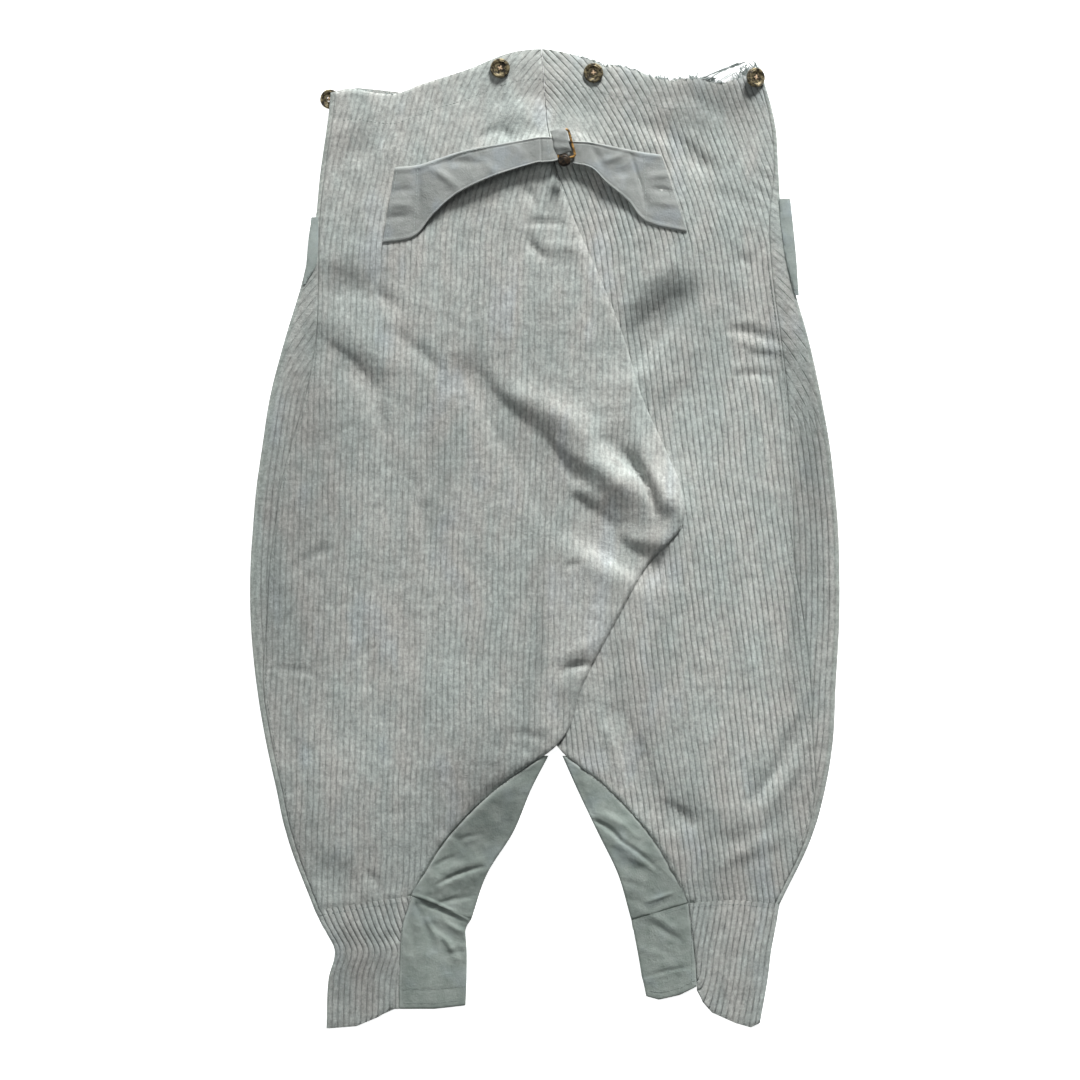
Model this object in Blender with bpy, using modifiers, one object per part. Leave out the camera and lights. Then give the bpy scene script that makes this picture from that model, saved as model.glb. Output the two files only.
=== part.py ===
"""Knee breeches of wide-wale corduroy, laid flat on a surface with the back up.

The waist points to +Y, the hems point to -Y and the back of the garment faces +Z. Sizes in
the tables are in millimetres and the objects are built in metres. Each cut piece of cloth is
one closed wall: the fronts lie on the surface, fold over at the outer edges and meet the
backs at the side seams, and the lower pieces fold round the leg in the same way.
"""

import math
from collections import namedtuple

import bmesh
import bpy
import numpy as np
from mathutils import Matrix, Vector

MM = 0.001

# Cloth
WALE = 5.0                # distance from one cord of the corduroy to the next
CORD_WALL = 1.2           # corduroy between its cords
CORD_RISE = 1.0           # how far a cord stands above that wall
FLAT_WALL = 1.6           # corduroy pressed flat on the surface
TWILL = 1.0               # plain twill of gussets, calf pieces, facings and straps
SEAM_GAP = 0.3            # between two pieces along a seam
LAYER_GAP = 0.4           # between the lower and the upper layer at a folded edge
OVERLAP_RISE = 3.0        # lift of the left back where it crosses the right back
OVERLAP_RAMP = 28.0       # width over which it climbs
OVERLAP_CLEAR = 3.0       # where it is already up, before the right back's edge
INSIDE_STEP = 4           # one inner column of a wall for so many outer ones
STRAP_COLUMNS = 4         # a strap's wall across its width
STRAP_PARTS = 2           # and between two stations

# Folded edges, across the turn of the cloth
TURN = 2.5                # cloth taken up by each half of a turn
TURN_DEPTH = 2.0          # how far a turn reaches into the leg
TURN_INSIDE = 2.7         # where the inner face starts to turn
TURN_INNER_DEPTH = 1.8    # how far in the inner face comes back
Turn = namedtuple("Turn", "column depth height")
TURNS = [                 # the outer face round a turn, its height as a share of the whole
    Turn(-TURN, TURN_DEPTH, 0.0),
    Turn(-TURN / 2, 0.5, 0.2),
    Turn(0.0, 0.0, 0.5),
    Turn(TURN / 2, 0.5, 0.82),
    Turn(TURN, TURN_DEPTH, 1.0),
]
FLAT_COLUMNS = [-60.0, -30.0]
TWILL_COLUMN = 30.0

# Fittings
BUTTON_DIAMETER = 17.0
BUTTON_THICKNESS = 3.2
BUTTON_WELL = 1.8         # height of the sunk middle
HOLE_RADIUS = 0.95
HOLE_PLACE = 2.0          # from the button's middle
BUCKLE_WIDTH = 20.0
BUCKLE_HEIGHT = 27.0
BUCKLE_WIRE = 2.2
BUCKLE_CENTRE = (14.5, 341.0)
BUCKLE_TURN = 15.0        # degrees
BUCKLE_RISE = 9.0         # underside of the buckle above the corduroy
PRONG_PLACE = (0.0, -9.6, 5.3)   # from the buckle's middle

# The thigh, a row for each section from the waist to the knee seam
Thigh = namedtuple("Thigh", "y left_edge left_seam left_inner right_inner right_seam right_edge")
THIGH = [
    Thigh(400, -186, -182, -3, -3, 184, 188),
    Thigh(362, -189, -185, 2, 2, 196, 200),
    Thigh(322, -195, -191, 9, 9, 199, 203),
    Thigh(275, -200, -196, 27, 10, 195, 206),
    Thigh(225, -211, -197, 49, 12, 198, 215),
    Thigh(175, -226, -199, 69, 15, 205, 229),
    Thigh(125, -239, -208, 84, 19, 211, 240),
    Thigh(80, -246, -221, 104, 23, 214, 248),
    Thigh(45, -251, -230, 118, 25, 216, 252),
    Thigh(10, -254, -235, 118, 26, 216, 255),
    Thigh(-20, -256, -239, 91, 26, 217, 256),
    Thigh(-70, -256, -242, 62, 24, 225, 256),
    Thigh(-125, -251, -245, 33, 18, 231, 253),
    Thigh(-179, -242, -237, 10, 10, 233, 250),
    Thigh(-215, -234, -229, -40, 53, 235, 244),
    Thigh(-255, -225, -220, -81, 90, 228, 233),
    Thigh(-310, -200, -196, -116, 125, 200, 204),
]

FORK_X = 10               # where the legs part
FORK_Y = -179
CENTRE_FRONT = (0, 383)   # top of the centre front line
GUSSET_ROW_Y = -215       # the section below

# The lower leg, a row for each section from the knee seam to the hem
Shin = namedtuple("Shin", "y left_edge left_seam left_inner right_inner right_seam right_edge")
SHIN = [
    Shin(-310, -200, -116, -64, 75, 125, 204),
    Shin(-340, -191, -125, -69, 77, 128, 200),
    Shin(-356, -183, -126, -68, 80, 130, 197),
    Shin(-380, -188, -127, -68, 84, 132, 194),
    Shin(-420, -190, -127, -69, 88, 132, 187),
]

# The inner edge of each leg, down the gussets
Gusset = namedtuple("Gusset", "y left_inner right_inner")
GUSSET = [
    Gusset(-188, 3, 15),
    Gusset(-215, -11, 27),
    Gusset(-255, -28, 46),
    Gusset(-290, -50, 63),
    Gusset(-330, -64, 75),
]

# Edges that cross the legs, as points along X
BACK_WAIST = [(-182, 388), (-170, 391), (-147, 388), (-137, 387), (-127, 388), (-112, 394),
              (-69, 408), (-25, 424), (-3, 426), (32, 419), (49, 414), (75, 409), (108, 400),
              (134, 401), (157, 398), (184, 409)]
FRONT_WAIST = [(-186, 388), (-170, 392), (-147, 391), (-100, 386), (0, 383), (100, 388),
               (157, 396), (188, 407)]
KNEE_SEAM = [(-200, -323), (-154, -315), (-116, -310), (125, -316), (163, -313), (204, -317)]
GUSSET_FOOT = [(-116, -310), (-64, -330), (75, -331), (125, -316)]
CORD_HEM = [(-190, -425), (-164, -423), (-145, -415), (-134, -408), (-127, -408), (133, -392),
            (137, -402), (145, -411), (165, -420), (179, -424), (187, -420)]
TWILL_HEM = [(-127, -408), (-96, -408), (-69, -405), (88, -397), (99, -400), (117, -396),
             (133, -388)]

# Run of the cords over the backs, as a sideways shift
LEFT_SLANT = 0.03         # of each millimetre up
RIGHT_SLANT = -0.13
FAN_SHIFT = 60.0          # at the height where the fan would be whole
FAN_FOOT = 320.0
FAN_HEIGHT = 210.0
FAN_REACH = 95.0          # from the centre back seam
LEFT_LEAN = 0.24          # how far the cords lean over towards the waist
RIGHT_LEAN = -0.26
LEAN_FOOT = 250.0
LEAN_RAMP = 40.0

# Folds of the upper layer: ridges rise and troughs sink along a line from one end to the other
Fold = namedtuple("Fold", "x1 y1 x2 y2 half_width rise")
FOLDS = [
    Fold(-70, 290, -130, -220, 80, 6.4),       # fullness of the left leg
    Fold(120, 270, 150, -210, 62, 5.8),        # fullness of the right leg
    Fold(30, 75, 95, 30, 26, 7.0),             # seat cloth pushed over the right leg
    Fold(-65, 141, 1, 49, 18, -4.4),           # drag lines from the seat to the fork
    Fold(58, 82, 100, 20, 13, -4.2),
    Fold(24, 20, 88, -22, 16, -5.0),
    Fold(40, -30, 20, -120, 20, 3.8),
    Fold(-197, 169, -150, 134, 14, -2.8),      # left hip
    Fold(-185, 188, -135, 152, 18, 2.5),
    Fold(113, 205, 72, 160, 15, -4.0),         # right seat
    Fold(130, 190, 95, 140, 20, 3.0),
    Fold(207, 150, 226, -95, 12, -2.2),        # beside the right side seam
    Fold(244, -138, 182, -221, 16, -2.6),      # right thigh towards the knee
    Fold(225, -165, 165, -240, 22, 3.0),
    Fold(217, -278, 160, -297, 14, -1.9),
    Fold(63, -159, 88, -213, 12, -2.2),
    Fold(81, -227, 124, -244, 14, -1.9),
    Fold(-212, -275, -172, -300, 14, -1.9),    # left knee
    Fold(43, -244, 79, -273, 10, 2.0),         # gussets
    Fold(61, -276, 118, -303, 9, -1.5),
    Fold(-91, -300, -54, -285, 10, 2.0),
    Fold(-41, 388, -33, 350, 12, -0.8),        # under the waist
    Fold(86, 352, 137, 343, 16, 1.6),
]

# Pocket facings that show past the folded edges
Facing = namedtuple("Facing", "y outer inner")
LEFT_FACING = [Facing(283, -203, -198), Facing(256, -208, -198), Facing(238, -209, -199),
               Facing(222, -214, -205)]
RIGHT_FACING = [Facing(294, 214, 205), Facing(268, 219, 207), Facing(242, 222, 210),
                Facing(218, 223, 214), Facing(196, 227, 221)]

# Cinch straps, a row for each station from the sewn end to the buckle; rise is over the cords
Station = namedtuple("Station", "x_top y_top x_low y_low rise")
LEFT_STRAP = [
    Station(-130, 323, -141, 257, 0.5),
    Station(-110, 325, -114, 262, 0.5),
    Station(-90, 331, -97, 281, 2.2),
    Station(-69, 337, -76, 299, 4.6),
    Station(-40, 342, -44, 314, 7.4),
    Station(-11, 347, -10, 325, 10.6),
    Station(-4, 348, 0, 327, 11.6),
    Station(6, 349, 11, 330, 11.6),
    Station(12, 349, 16, 332, 9.4),
    Station(18, 348, 22, 333, 7.6),
    Station(29, 345, 33, 332, 7.6),
]
RIGHT_STRAP = [
    Station(101, 334, 123, 266, 0.5),
    Station(86, 336, 88, 275, 0.5),
    Station(74, 338, 72, 293, 2.0),
    Station(56, 341, 54, 308, 4.4),
    Station(39, 344, 41, 321, 6.2),
    Station(23, 345, 27, 325, 6.3),
    Station(9, 347, 12, 327, 6.3),
]

# Fly placket, hidden between the layers behind the closed front
PLACKET = [Facing(376, -16, 18), Facing(290, -14, 20), Facing(205, -10, 18)]
PLACKET_RISE = 1.9        # lift of the back over it
PLACKET_REACH = 75.0
PLACKET_RAMP = 50.0

# Brace buttons: place, tilt about Y and how far they stand off the cords
Button = namedtuple("Button", "name x y tilt rise")
BUTTONS = [
    Button("button_back_left", -39, 409, 0, 0.4),
    Button("button_back_right", 42, 405, 0, 0.4),
    Button("button_side_right", 183, 401, 22, 2.2),
]
HIDDEN_BUTTON = Button("button_side_left", -187, 383, 0, 0.0)
HIDDEN_LIFT = 3.9         # the cloth rides up over the button beneath it
HIDDEN_REACH = (26.0, 60.0)


# Forms

def smooth_step(value):
    """0 below 0, 1 above 1 and a soft rise between."""
    share = min(max(value, 0.0), 1.0)
    return share * share * (3.0 - 2.0 * share)


def distance_to_line(x, y, fold):
    """How far a place is from the line of a fold."""
    length_x = fold.x2 - fold.x1
    length_y = fold.y2 - fold.y1
    along = (x - fold.x1) * length_x + (y - fold.y1) * length_y
    share = min(max(along / (length_x ** 2 + length_y ** 2), 0.0), 1.0)
    return math.hypot(x - fold.x1 - share * length_x, y - fold.y1 - share * length_y)


def ground(x, y):
    """Height of the underside: flat, but for the place that rests on the hidden button."""
    near, far = HIDDEN_REACH
    distance = math.hypot(x - HIDDEN_BUTTON.x, y - HIDDEN_BUTTON.y)
    return HIDDEN_LIFT * smooth_step((far - distance) / (far - near))


def underside(x, y):
    """Height of the upper layer's inner face."""
    loft = 0.0
    for fold in FOLDS:
        loft += fold.rise * math.exp(-(distance_to_line(x, y, fold) / fold.half_width) ** 2)
    placket = PLACKET_RISE * smooth_step((PLACKET_REACH - abs(x)) / PLACKET_RAMP)
    placket *= smooth_step((y - PLACKET[-1].y) / PLACKET_RAMP + 1.0)
    return ground(x, y) + FLAT_WALL + LAYER_GAP + max(loft, 0.0) + placket


def left_back_underside(x, y):
    """The left back's inner face, which climbs over the right back below the strap."""
    edge = section_value(THIGH, "right_inner", y)
    across = smooth_step((x - edge + OVERLAP_CLEAR) / OVERLAP_RAMP + 1.0)
    above = smooth_step((THIGH[1].y - y) / (THIGH[1].y - THIGH[2].y))
    below = smooth_step((y - GUSSET_ROW_Y) / (FORK_Y - GUSSET_ROW_Y))
    return underside(x, y) + OVERLAP_RISE * across * above * below


def cords_top(x, y):
    """Height of the cords' crests, on which straps and buttons lie."""
    return underside(x, y) + CORD_WALL + CORD_RISE


def section_value(sections, column, y):
    """A column of a section table at any height on the leg."""
    heights = [row.y for row in reversed(sections)]
    values = [getattr(row, column) for row in reversed(sections)]
    return float(np.interp(y, heights, values))


def gusset_seam(word, y):
    """The X of a gusset's seam, which ends at the knee seam."""
    ends = [getattr(row, word + "_inner") for row in THIGH]
    heights = [row.y for row in THIGH[:-1]] + [along_edge(KNEE_SEAM, ends[-1])]
    return float(np.interp(-y, [-height for height in heights], ends))


def along_edge(points, x):
    """The Y of an edge that crosses the garment."""
    return float(np.interp(x, [p[0] for p in points], [p[1] for p in points]))


def wale_shift(x, y, side):
    """How far the cord through a place has moved sideways from where it crosses Y = 0.

    The right back is cut on a slant. Both backs lean over below the waist and fan towards the
    top of the centre back seam, where their cords meet in a chevron.
    """
    slant = LEFT_SLANT if side < 0 else RIGHT_SLANT
    above = max(y - LEAN_FOOT, 0.0)
    lean = (LEFT_LEAN if side < 0 else RIGHT_LEAN) * above ** 2 / (above + LEAN_RAMP)
    fan = FAN_SHIFT * smooth_step((y - FAN_FOOT) / FAN_HEIGHT)
    return slant * y + lean - side * fan * max(0.0, 1.0 - abs(x) / FAN_REACH)


def wale_at(x, y, side):
    """The cord coordinate of a place on a back."""
    return x - wale_shift(x, y, side)


def place_on_wale(wale, y, side):
    """The X at which a cord of a back crosses a height."""
    x = wale
    for _ in range(14):
        x = wale + wale_shift(x, y, side)
    return x


def cord_height(place):
    """Height of the cords over the wall, from a triangle wave one wale long."""
    phase = (place / WALE) % 1.0
    return CORD_RISE * (1.0 - abs(2.0 * phase - 1.0))


# Sheets: a cut piece is a wall over rows and columns, sliced where columns leave its edge

def clip(polygon, limit, keep_above):
    """The part of a polygon of (column, share) points on one side of a column."""
    kept = []
    for index, (s, t) in enumerate(polygon):
        before_s, before_t = polygon[index - 1]
        inside = s >= limit if keep_above else s <= limit
        was_inside = before_s >= limit if keep_above else before_s <= limit
        if inside != was_inside:
            share = (limit - before_s) / (s - before_s)
            kept.append((limit, before_t + share * (t - before_t)))
        if inside:
            kept.append((s, t))
    return kept


def slice_sheet(left, right, columns):
    """Faces of a sheet as loops of keys (column, row), rows being counted from the top."""
    faces = []
    for row in range(len(left) - 1):
        band = [(left[row], 0.0), (right[row], 0.0), (right[row + 1], 1.0), (left[row + 1], 1.0)]
        low = min(left[row], left[row + 1])
        high = max(right[row], right[row + 1])
        inside = [s for s in columns if low < s < high]
        cuts = [low - 1.0] + inside + [high + 1.0]
        for start, end in zip(cuts, cuts[1:]):
            piece = clip(clip(band, start, True), end, False)
            keys = []
            for s, t in piece:
                key = (round(s, 3), round(row + t, 4))
                if key not in keys:
                    keys.append(key)
            if len(keys) > 2:
                faces.append(keys)
    return faces


def edge_loop(faces):
    """The keys round the edge of a set of faces, in order."""
    steps = set()
    for keys in faces:
        steps.update(zip(keys, keys[1:] + keys[:1]))
    onward = {a: b for a, b in steps if (b, a) not in steps}
    start = min(onward)
    loop = [start]
    while onward[loop[-1]] != start:
        loop.append(onward[loop[-1]])
    return loop


def keep_off_columns(values, columns, inward):
    """Moves an edge inward on to a column that lies so near that it would leave a sliver."""
    moved = []
    for value in values:
        near = [s for s in columns if 0.0 <= (s - value) * inward < 0.35]
        moved.append(near[0] if near else value)
    return moved


def make_sheet(name, left, right, columns, inner_columns, outer_point, inner_point, material):
    """A closed wall between an outer and an inner face over the same rows.

    left and right give the column coordinate of the edges on each row, and the two functions
    turn a column and a row number into a place in millimetres. A point between two rows lies
    on the straight line between its places on them, so neighbours agree along a seam.
    """
    left = keep_off_columns(left, columns, 1)
    right = keep_off_columns(right, columns, -1)
    mesh = bpy.data.meshes.new(name)
    solid = bmesh.new()

    def vertices(faces, point):
        placed = {}
        for key in {key for keys in faces for key in keys}:
            column, height = key
            row = min(int(height), len(left) - 2)
            upper = Vector(point(column, row))
            lower = Vector(point(column, row + 1))
            placed[key] = solid.verts.new(upper.lerp(lower, height - row) * MM)
        return placed

    outer_faces = slice_sheet(left, right, columns)
    inner_faces = slice_sheet(left, right, inner_columns)
    outer = vertices(outer_faces, outer_point)
    inner = vertices(inner_faces, inner_point)
    for keys in outer_faces:
        solid.faces.new([outer[key] for key in keys])
    for keys in inner_faces:
        solid.faces.new([inner[key] for key in reversed(keys)])
    loop = edge_loop(outer_faces)
    start = next(index for index, key in enumerate(loop) if key in inner)
    loop = loop[start:] + loop[:start + 1]
    run = [loop[0]]
    for key in loop[1:]:
        run.append(key)
        if key in inner:
            ends = [inner[run[0]], inner[run[-1]]]
            solid.faces.new(ends + [outer[step] for step in reversed(run)])
            run = [key]
    bmesh.ops.triangulate(solid, faces=solid.faces[:], ngon_method="EAR_CLIP")
    if solid.calc_volume(signed=True) < 0.0:
        bmesh.ops.reverse_faces(solid, faces=solid.faces[:])
    solid.to_mesh(mesh)
    solid.free()
    return add_object(name, mesh, material)


def steps_between(low, high, step):
    """Multiples of a step that lie between two values."""
    first = math.floor(low / step)
    last = math.ceil(high / step)
    return [number * step for number in range(first, last + 1)]


# Pieces of the garment

def make_back(name, side, material):
    """A back: corduroy from the centre back seam to the side seam, cords up."""
    word = "left" if side < 0 else "right"
    rows = THIGH
    half_gap = SEAM_GAP / 2

    def row_height(row, x):
        if row == 0:
            return along_edge(BACK_WAIST, x)
        if row == len(rows) - 1:
            return along_edge(KNEE_SEAM, x) + half_gap
        return rows[row].y

    def edge(column, shift):
        values = []
        for number, row in enumerate(rows):
            x = getattr(row, column) + shift
            values.append(wale_at(x, row_height(number, x), side))
        return values

    height = left_back_underside if side < 0 else underside
    outward = edge(word + "_seam", -side * half_gap)
    inward = edge(word + "_inner", side * half_gap)
    left, right = (outward, inward) if side < 0 else (inward, outward)
    columns = steps_between(min(left), max(right), WALE / 2)
    inner_columns = columns[::INSIDE_STEP]

    def place(wale, row):
        x = wale
        for _ in range(3):
            x = place_on_wale(wale, row_height(row, x), side)
        return x, row_height(row, x)

    def outer_point(wale, row):
        x, y = place(wale, row)
        return x, y, height(x, y) + CORD_WALL + cord_height(wale)

    def inner_point(wale, row):
        x, y = place(wale, row)
        return x, y, height(x, y)

    return make_sheet(name, left, right, columns, inner_columns, outer_point, inner_point,
                      material)


def make_wrapped(name, inward, rows, fold_x, top_x, bottom_x, top_edge, bottom_edge, wall,
                 floor_wall, cords, material):
    """A piece that lies on the surface, turns up at a folded edge and comes back on top.

    inward is the direction in X from the folded edge into the leg. A column is the distance
    along the cloth from the middle of the turn, negative on the surface and positive on top.
    fold_x, top_x and bottom_x give the turn and the two seams on each row. top_edge and
    bottom_edge give a row's Y from its X, for the upper and the lower layer.
    """
    half_gap = SEAM_GAP / 2
    slack = TURN - TURN_DEPTH
    top = [(top_x[row] - fold_x[row]) * inward - half_gap + slack for row in range(rows)]
    bottom = [(bottom_x[row] - fold_x[row]) * inward - half_gap + slack for row in range(rows)]
    left = [-value for value in bottom]
    turns = {turn.column: turn for turn in TURNS}
    strip = steps_between(2 * TURN, max(top), WALE / 2) if cords else [TWILL_COLUMN]
    inner_strip = strip[3::INSIDE_STEP] if cords else strip
    columns = FLAT_COLUMNS + list(turns) + strip
    inner_columns = FLAT_COLUMNS + [-TURN, 0.0, TURN] + inner_strip

    def place(column, row, depth):
        x = fold_x[row] + inward * depth
        edge = top_edge if column > 0 else bottom_edge
        return x, edge(row, x)

    def outer_point(column, row):
        if column in turns:
            x, y = place(column, row, turns[column].depth)
            crest = underside(x, y) + wall + cords * CORD_RISE / 2
            share = turns[column].height
            return x, y, (1 - share) * ground(x, y) + share * crest
        x, y = place(column, row, abs(column) - slack)
        if column < 0:
            return x, y, ground(x, y)
        return x, y, underside(x, y) + wall + cords * cord_height(column)

    def inner_point(column, row):
        depth = TURN_INNER_DEPTH if column == 0.0 else max(abs(column) - slack, TURN_INSIDE)
        x, y = place(column, row, depth)
        low = ground(x, y) + floor_wall
        high = underside(x, y)
        if column == 0.0:
            return x, y, (low + high) / 2
        return x, y, low if column < 0 else high

    return make_sheet(name, left, top, columns, inner_columns, outer_point, inner_point, material)


def make_front(name, side, material):
    """A front: it lies on the surface and folds over the outer edge to the side seam."""
    word = "left" if side < 0 else "right"
    count = len(THIGH)
    half_gap = SEAM_GAP / 2
    centre = [np.interp(row.y, [FORK_Y, CENTRE_FRONT[1]], [FORK_X, CENTRE_FRONT[0]])
              for row in THIGH]
    bottom_x = [centre[row] if THIGH[row].y >= FORK_Y else getattr(THIGH[row], word + "_inner")
                for row in range(count)]

    def edge_of(waist):
        def height(row, x):
            if row == 0:
                return along_edge(waist, x)
            if row == count - 1:
                return along_edge(KNEE_SEAM, x) + half_gap
            return THIGH[row].y
        return height

    return make_wrapped(name, -side, count, [getattr(row, word + "_edge") for row in THIGH],
                        [getattr(row, word + "_seam") for row in THIGH], bottom_x,
                        edge_of(BACK_WAIST), edge_of(FRONT_WAIST), CORD_WALL, FLAT_WALL, 1,
                        material)


def make_lower(name, word, turn_column, inward, start, foot, wall, floor_wall, cords, material):
    """A lower leg piece between a starting edge and a hem, folded round the leg."""
    count = len(SHIN)
    half_gap = SEAM_GAP / 2
    fold_x = [getattr(row, word + turn_column) for row in SHIN]
    seam_x = [getattr(row, word + "_seam") for row in SHIN]

    def height(row, x):
        if row == 0:
            return along_edge(start, x) - half_gap
        if row == count - 1:
            return along_edge(foot, x)
        return SHIN[row].y

    return make_wrapped(name, inward, count, fold_x, seam_x, seam_x, height, height, wall,
                        floor_wall, cords, material)


def make_gusset(name, side, material):
    """The twill inside the knee, folded round the inner edge of the leg."""
    word = "left" if side < 0 else "right"
    count = len(GUSSET)
    half_gap = SEAM_GAP / 2
    fold_x = [getattr(row, word + "_inner") for row in GUSSET]
    seam_x = [gusset_seam(word, row.y) for row in GUSSET]

    def height(row, x):
        if row == count - 1:
            return along_edge(GUSSET_FOOT, x) + half_gap
        return GUSSET[row].y

    return make_wrapped(name, side, count, fold_x, seam_x, seam_x, height, height, TWILL, TWILL,
                        0, material)


def make_flat_strip(name, rows, inner_height, material):
    """A plain strip of twill between two edges, laid on what is below it."""
    left = [min(row.outer, row.inner) for row in rows]
    right = [max(row.outer, row.inner) for row in rows]

    def inner_point(x, row):
        return x, rows[row].y, inner_height(x, rows[row].y)

    def outer_point(x, row):
        return x, rows[row].y, inner_height(x, rows[row].y) + TWILL

    return make_sheet(name, left, right, [], [], outer_point, inner_point, material)


def strap_base(x, y):
    """The cords' height under a strap, held level near the stiff buckle."""
    distance = math.hypot(x - BUCKLE_CENTRE[0], y - BUCKLE_CENTRE[1])
    level = smooth_step((70.0 - distance) / 40.0)
    return (1.0 - level) * cords_top(x, y) + level * cords_top(*BUCKLE_CENTRE)


def make_strap(name, stations, material):
    """A cinch strap from its sewn end to the buckle, over the points of what it lies on."""
    rows = []
    for before, after in zip(stations, stations[1:]):
        for part in range(STRAP_PARTS):
            share = part / STRAP_PARTS
            rows.append(Station(*[(1 - share) * a + share * b for a, b in zip(before, after)]))
    rows.append(stations[-1])

    def inner_point(across, row):
        station = rows[row]
        share = across / STRAP_COLUMNS
        x = (1 - share) * station.x_low + share * station.x_top
        y = (1 - share) * station.y_low + share * station.y_top
        return x, y, strap_base(x, y) + station.rise

    def outer_point(across, row):
        x, y, z = inner_point(across, row)
        return x, y, z + TWILL

    columns = list(range(1, STRAP_COLUMNS))
    left = [0.0] * len(rows)
    right = [float(STRAP_COLUMNS)] * len(rows)
    return make_sheet(name, left, right, columns, columns, outer_point, inner_point, material)


# Fittings

def make_button(button, z, materials, cutters):
    """A turned four-hole brace button with a raised rim and a sunk middle."""
    radius = BUTTON_DIAMETER / 2
    top = BUTTON_THICKNESS
    profile = [(0.0, BUTTON_WELL), (radius * 0.42, BUTTON_WELL), (radius * 0.58, top - 0.3),
               (radius * 0.84, top), (radius, top - 1.0), (radius * 0.92, 0.5),
               (radius * 0.6, 0.0), (0.0, 0.0)]
    mesh = bpy.data.meshes.new(button.name)
    mesh.from_pydata([(x * MM, 0.0, height * MM) for x, height in profile],
                     [(index, index + 1) for index in range(len(profile) - 1)], [])
    obj = add_object(button.name, mesh, materials["bronze"])
    turn = obj.modifiers.new("Turn", "SCREW")
    turn.steps = 16
    turn.render_steps = 16
    turn.use_merge_vertices = True
    turn.merge_threshold = 0.00001
    for number in range(4):
        angle = math.radians(45 + 90 * number)
        bpy.ops.mesh.primitive_cylinder_add(
            vertices=8, radius=HOLE_RADIUS * MM, depth=3 * BUTTON_THICKNESS * MM,
            location=(HOLE_PLACE * MM * math.cos(angle), HOLE_PLACE * MM * math.sin(angle), 0.0))
        hole = bpy.context.object
        hole.name = f"{button.name}_hole_{number}"
        hole.parent = obj
        put_in(hole, cutters)
        hole.hide_render = True
        hole.display_type = "WIRE"
        cut = obj.modifiers.new(f"Hole {number}", "BOOLEAN")
        cut.operation = "DIFFERENCE"
        cut.object = hole
    obj.location = Vector((button.x, button.y, z)) * MM
    obj.rotation_euler = (0.0, math.radians(button.tilt), 0.0)
    return obj


def make_buckle(materials):
    """The slide buckle: a bent wire frame and the prong that lies across it."""
    z = strap_base(*BUCKLE_CENTRE) + BUCKLE_RISE
    place = Matrix.Translation(Vector((*BUCKLE_CENTRE, z)) * MM)
    turned = place @ Matrix.Rotation(math.radians(BUCKLE_TURN), 4, "Z")
    frame_mesh = bpy.data.meshes.new("buckle_frame")
    solid = bmesh.new()
    bmesh.ops.create_cube(solid, size=1.0)
    bmesh.ops.scale(solid, vec=(BUCKLE_WIDTH * MM, BUCKLE_HEIGHT * MM, BUCKLE_WIRE * MM),
                    verts=solid.verts)
    bmesh.ops.translate(solid, vec=(0, 0, BUCKLE_WIRE / 2 * MM), verts=solid.verts)
    flat = [face for face in solid.faces if abs(face.normal.z) > 0.9]
    bmesh.ops.inset_individual(solid, faces=flat, thickness=BUCKLE_WIRE * MM)
    bmesh.ops.delete(solid, geom=flat, context="FACES_ONLY")
    open_edges = [edge for edge in solid.edges if edge.is_boundary]
    bmesh.ops.bridge_loops(solid, edges=open_edges)
    solid.to_mesh(frame_mesh)
    solid.free()
    frame = add_object("buckle_frame", frame_mesh, materials["brass"])
    soften = frame.modifiers.new("Round corners", "BEVEL")
    soften.width = 0.5 * MM
    soften.segments = 1
    frame.matrix_world = turned

    prong_mesh = bpy.data.meshes.new("buckle_prong")
    prong = [(0.0, 6.0), (1.6, 5.4), (2.6, 3.6), (2.8, 0.0), (2.6, -3.6), (1.6, -5.4), (0.0, -6.0)]
    prong_mesh.from_pydata([(x * MM, 0.0, height * MM) for x, height in prong],
                           [(index, index + 1) for index in range(len(prong) - 1)], [])
    knob = add_object("buckle_prong", prong_mesh, materials["bronze"])
    turn = knob.modifiers.new("Turn", "SCREW")
    turn.steps = 10
    turn.render_steps = 10
    turn.use_merge_vertices = True
    turn.merge_threshold = 0.00001
    lying = Matrix.Rotation(math.radians(90), 4, "X")
    knob.matrix_world = turned @ Matrix.Translation(Vector(PRONG_PLACE) * MM) @ lying
    return [frame, knob]


# Scene

def add_object(name, mesh, material):
    """A new object of the garment with its material."""
    obj = bpy.data.objects.new(name, mesh)
    mesh.materials.append(material)
    garment_collection().objects.link(obj)
    return obj


def garment_collection():
    """The collection that holds the garment's pieces."""
    name = "Knee breeches"
    if name not in bpy.data.collections:
        collection = bpy.data.collections.new(name)
        bpy.context.scene.collection.children.link(collection)
    return bpy.data.collections[name]


def put_in(obj, collection):
    """Moves an object out of its collections into one."""
    for other in list(obj.users_collection):
        other.objects.unlink(obj)
    collection.objects.link(obj)


def make_material(name, colour, roughness, metallic):
    """A Principled material with one colour."""
    material = bpy.data.materials.new(name)
    material.use_nodes = True
    shader = material.node_tree.nodes["Principled BSDF"]
    shader.inputs["Base Color"].default_value = (*colour, 1.0)
    shader.inputs["Roughness"].default_value = roughness
    shader.inputs["Metallic"].default_value = metallic
    return material


def make_materials():
    """The cloths and metals of the garment."""
    return {
        "corduroy": make_material("Corduroy", (0.40, 0.44, 0.41), 0.9, 0.0),
        "twill": make_material("Twill", (0.30, 0.35, 0.31), 0.85, 0.0),
        "strap": make_material("Strap twill", (0.42, 0.47, 0.47), 0.85, 0.0),
        "bronze": make_material("Dark bronze", (0.07, 0.06, 0.045), 0.45, 0.9),
        "brass": make_material("Brass", (0.45, 0.30, 0.13), 0.4, 1.0),
    }


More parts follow.
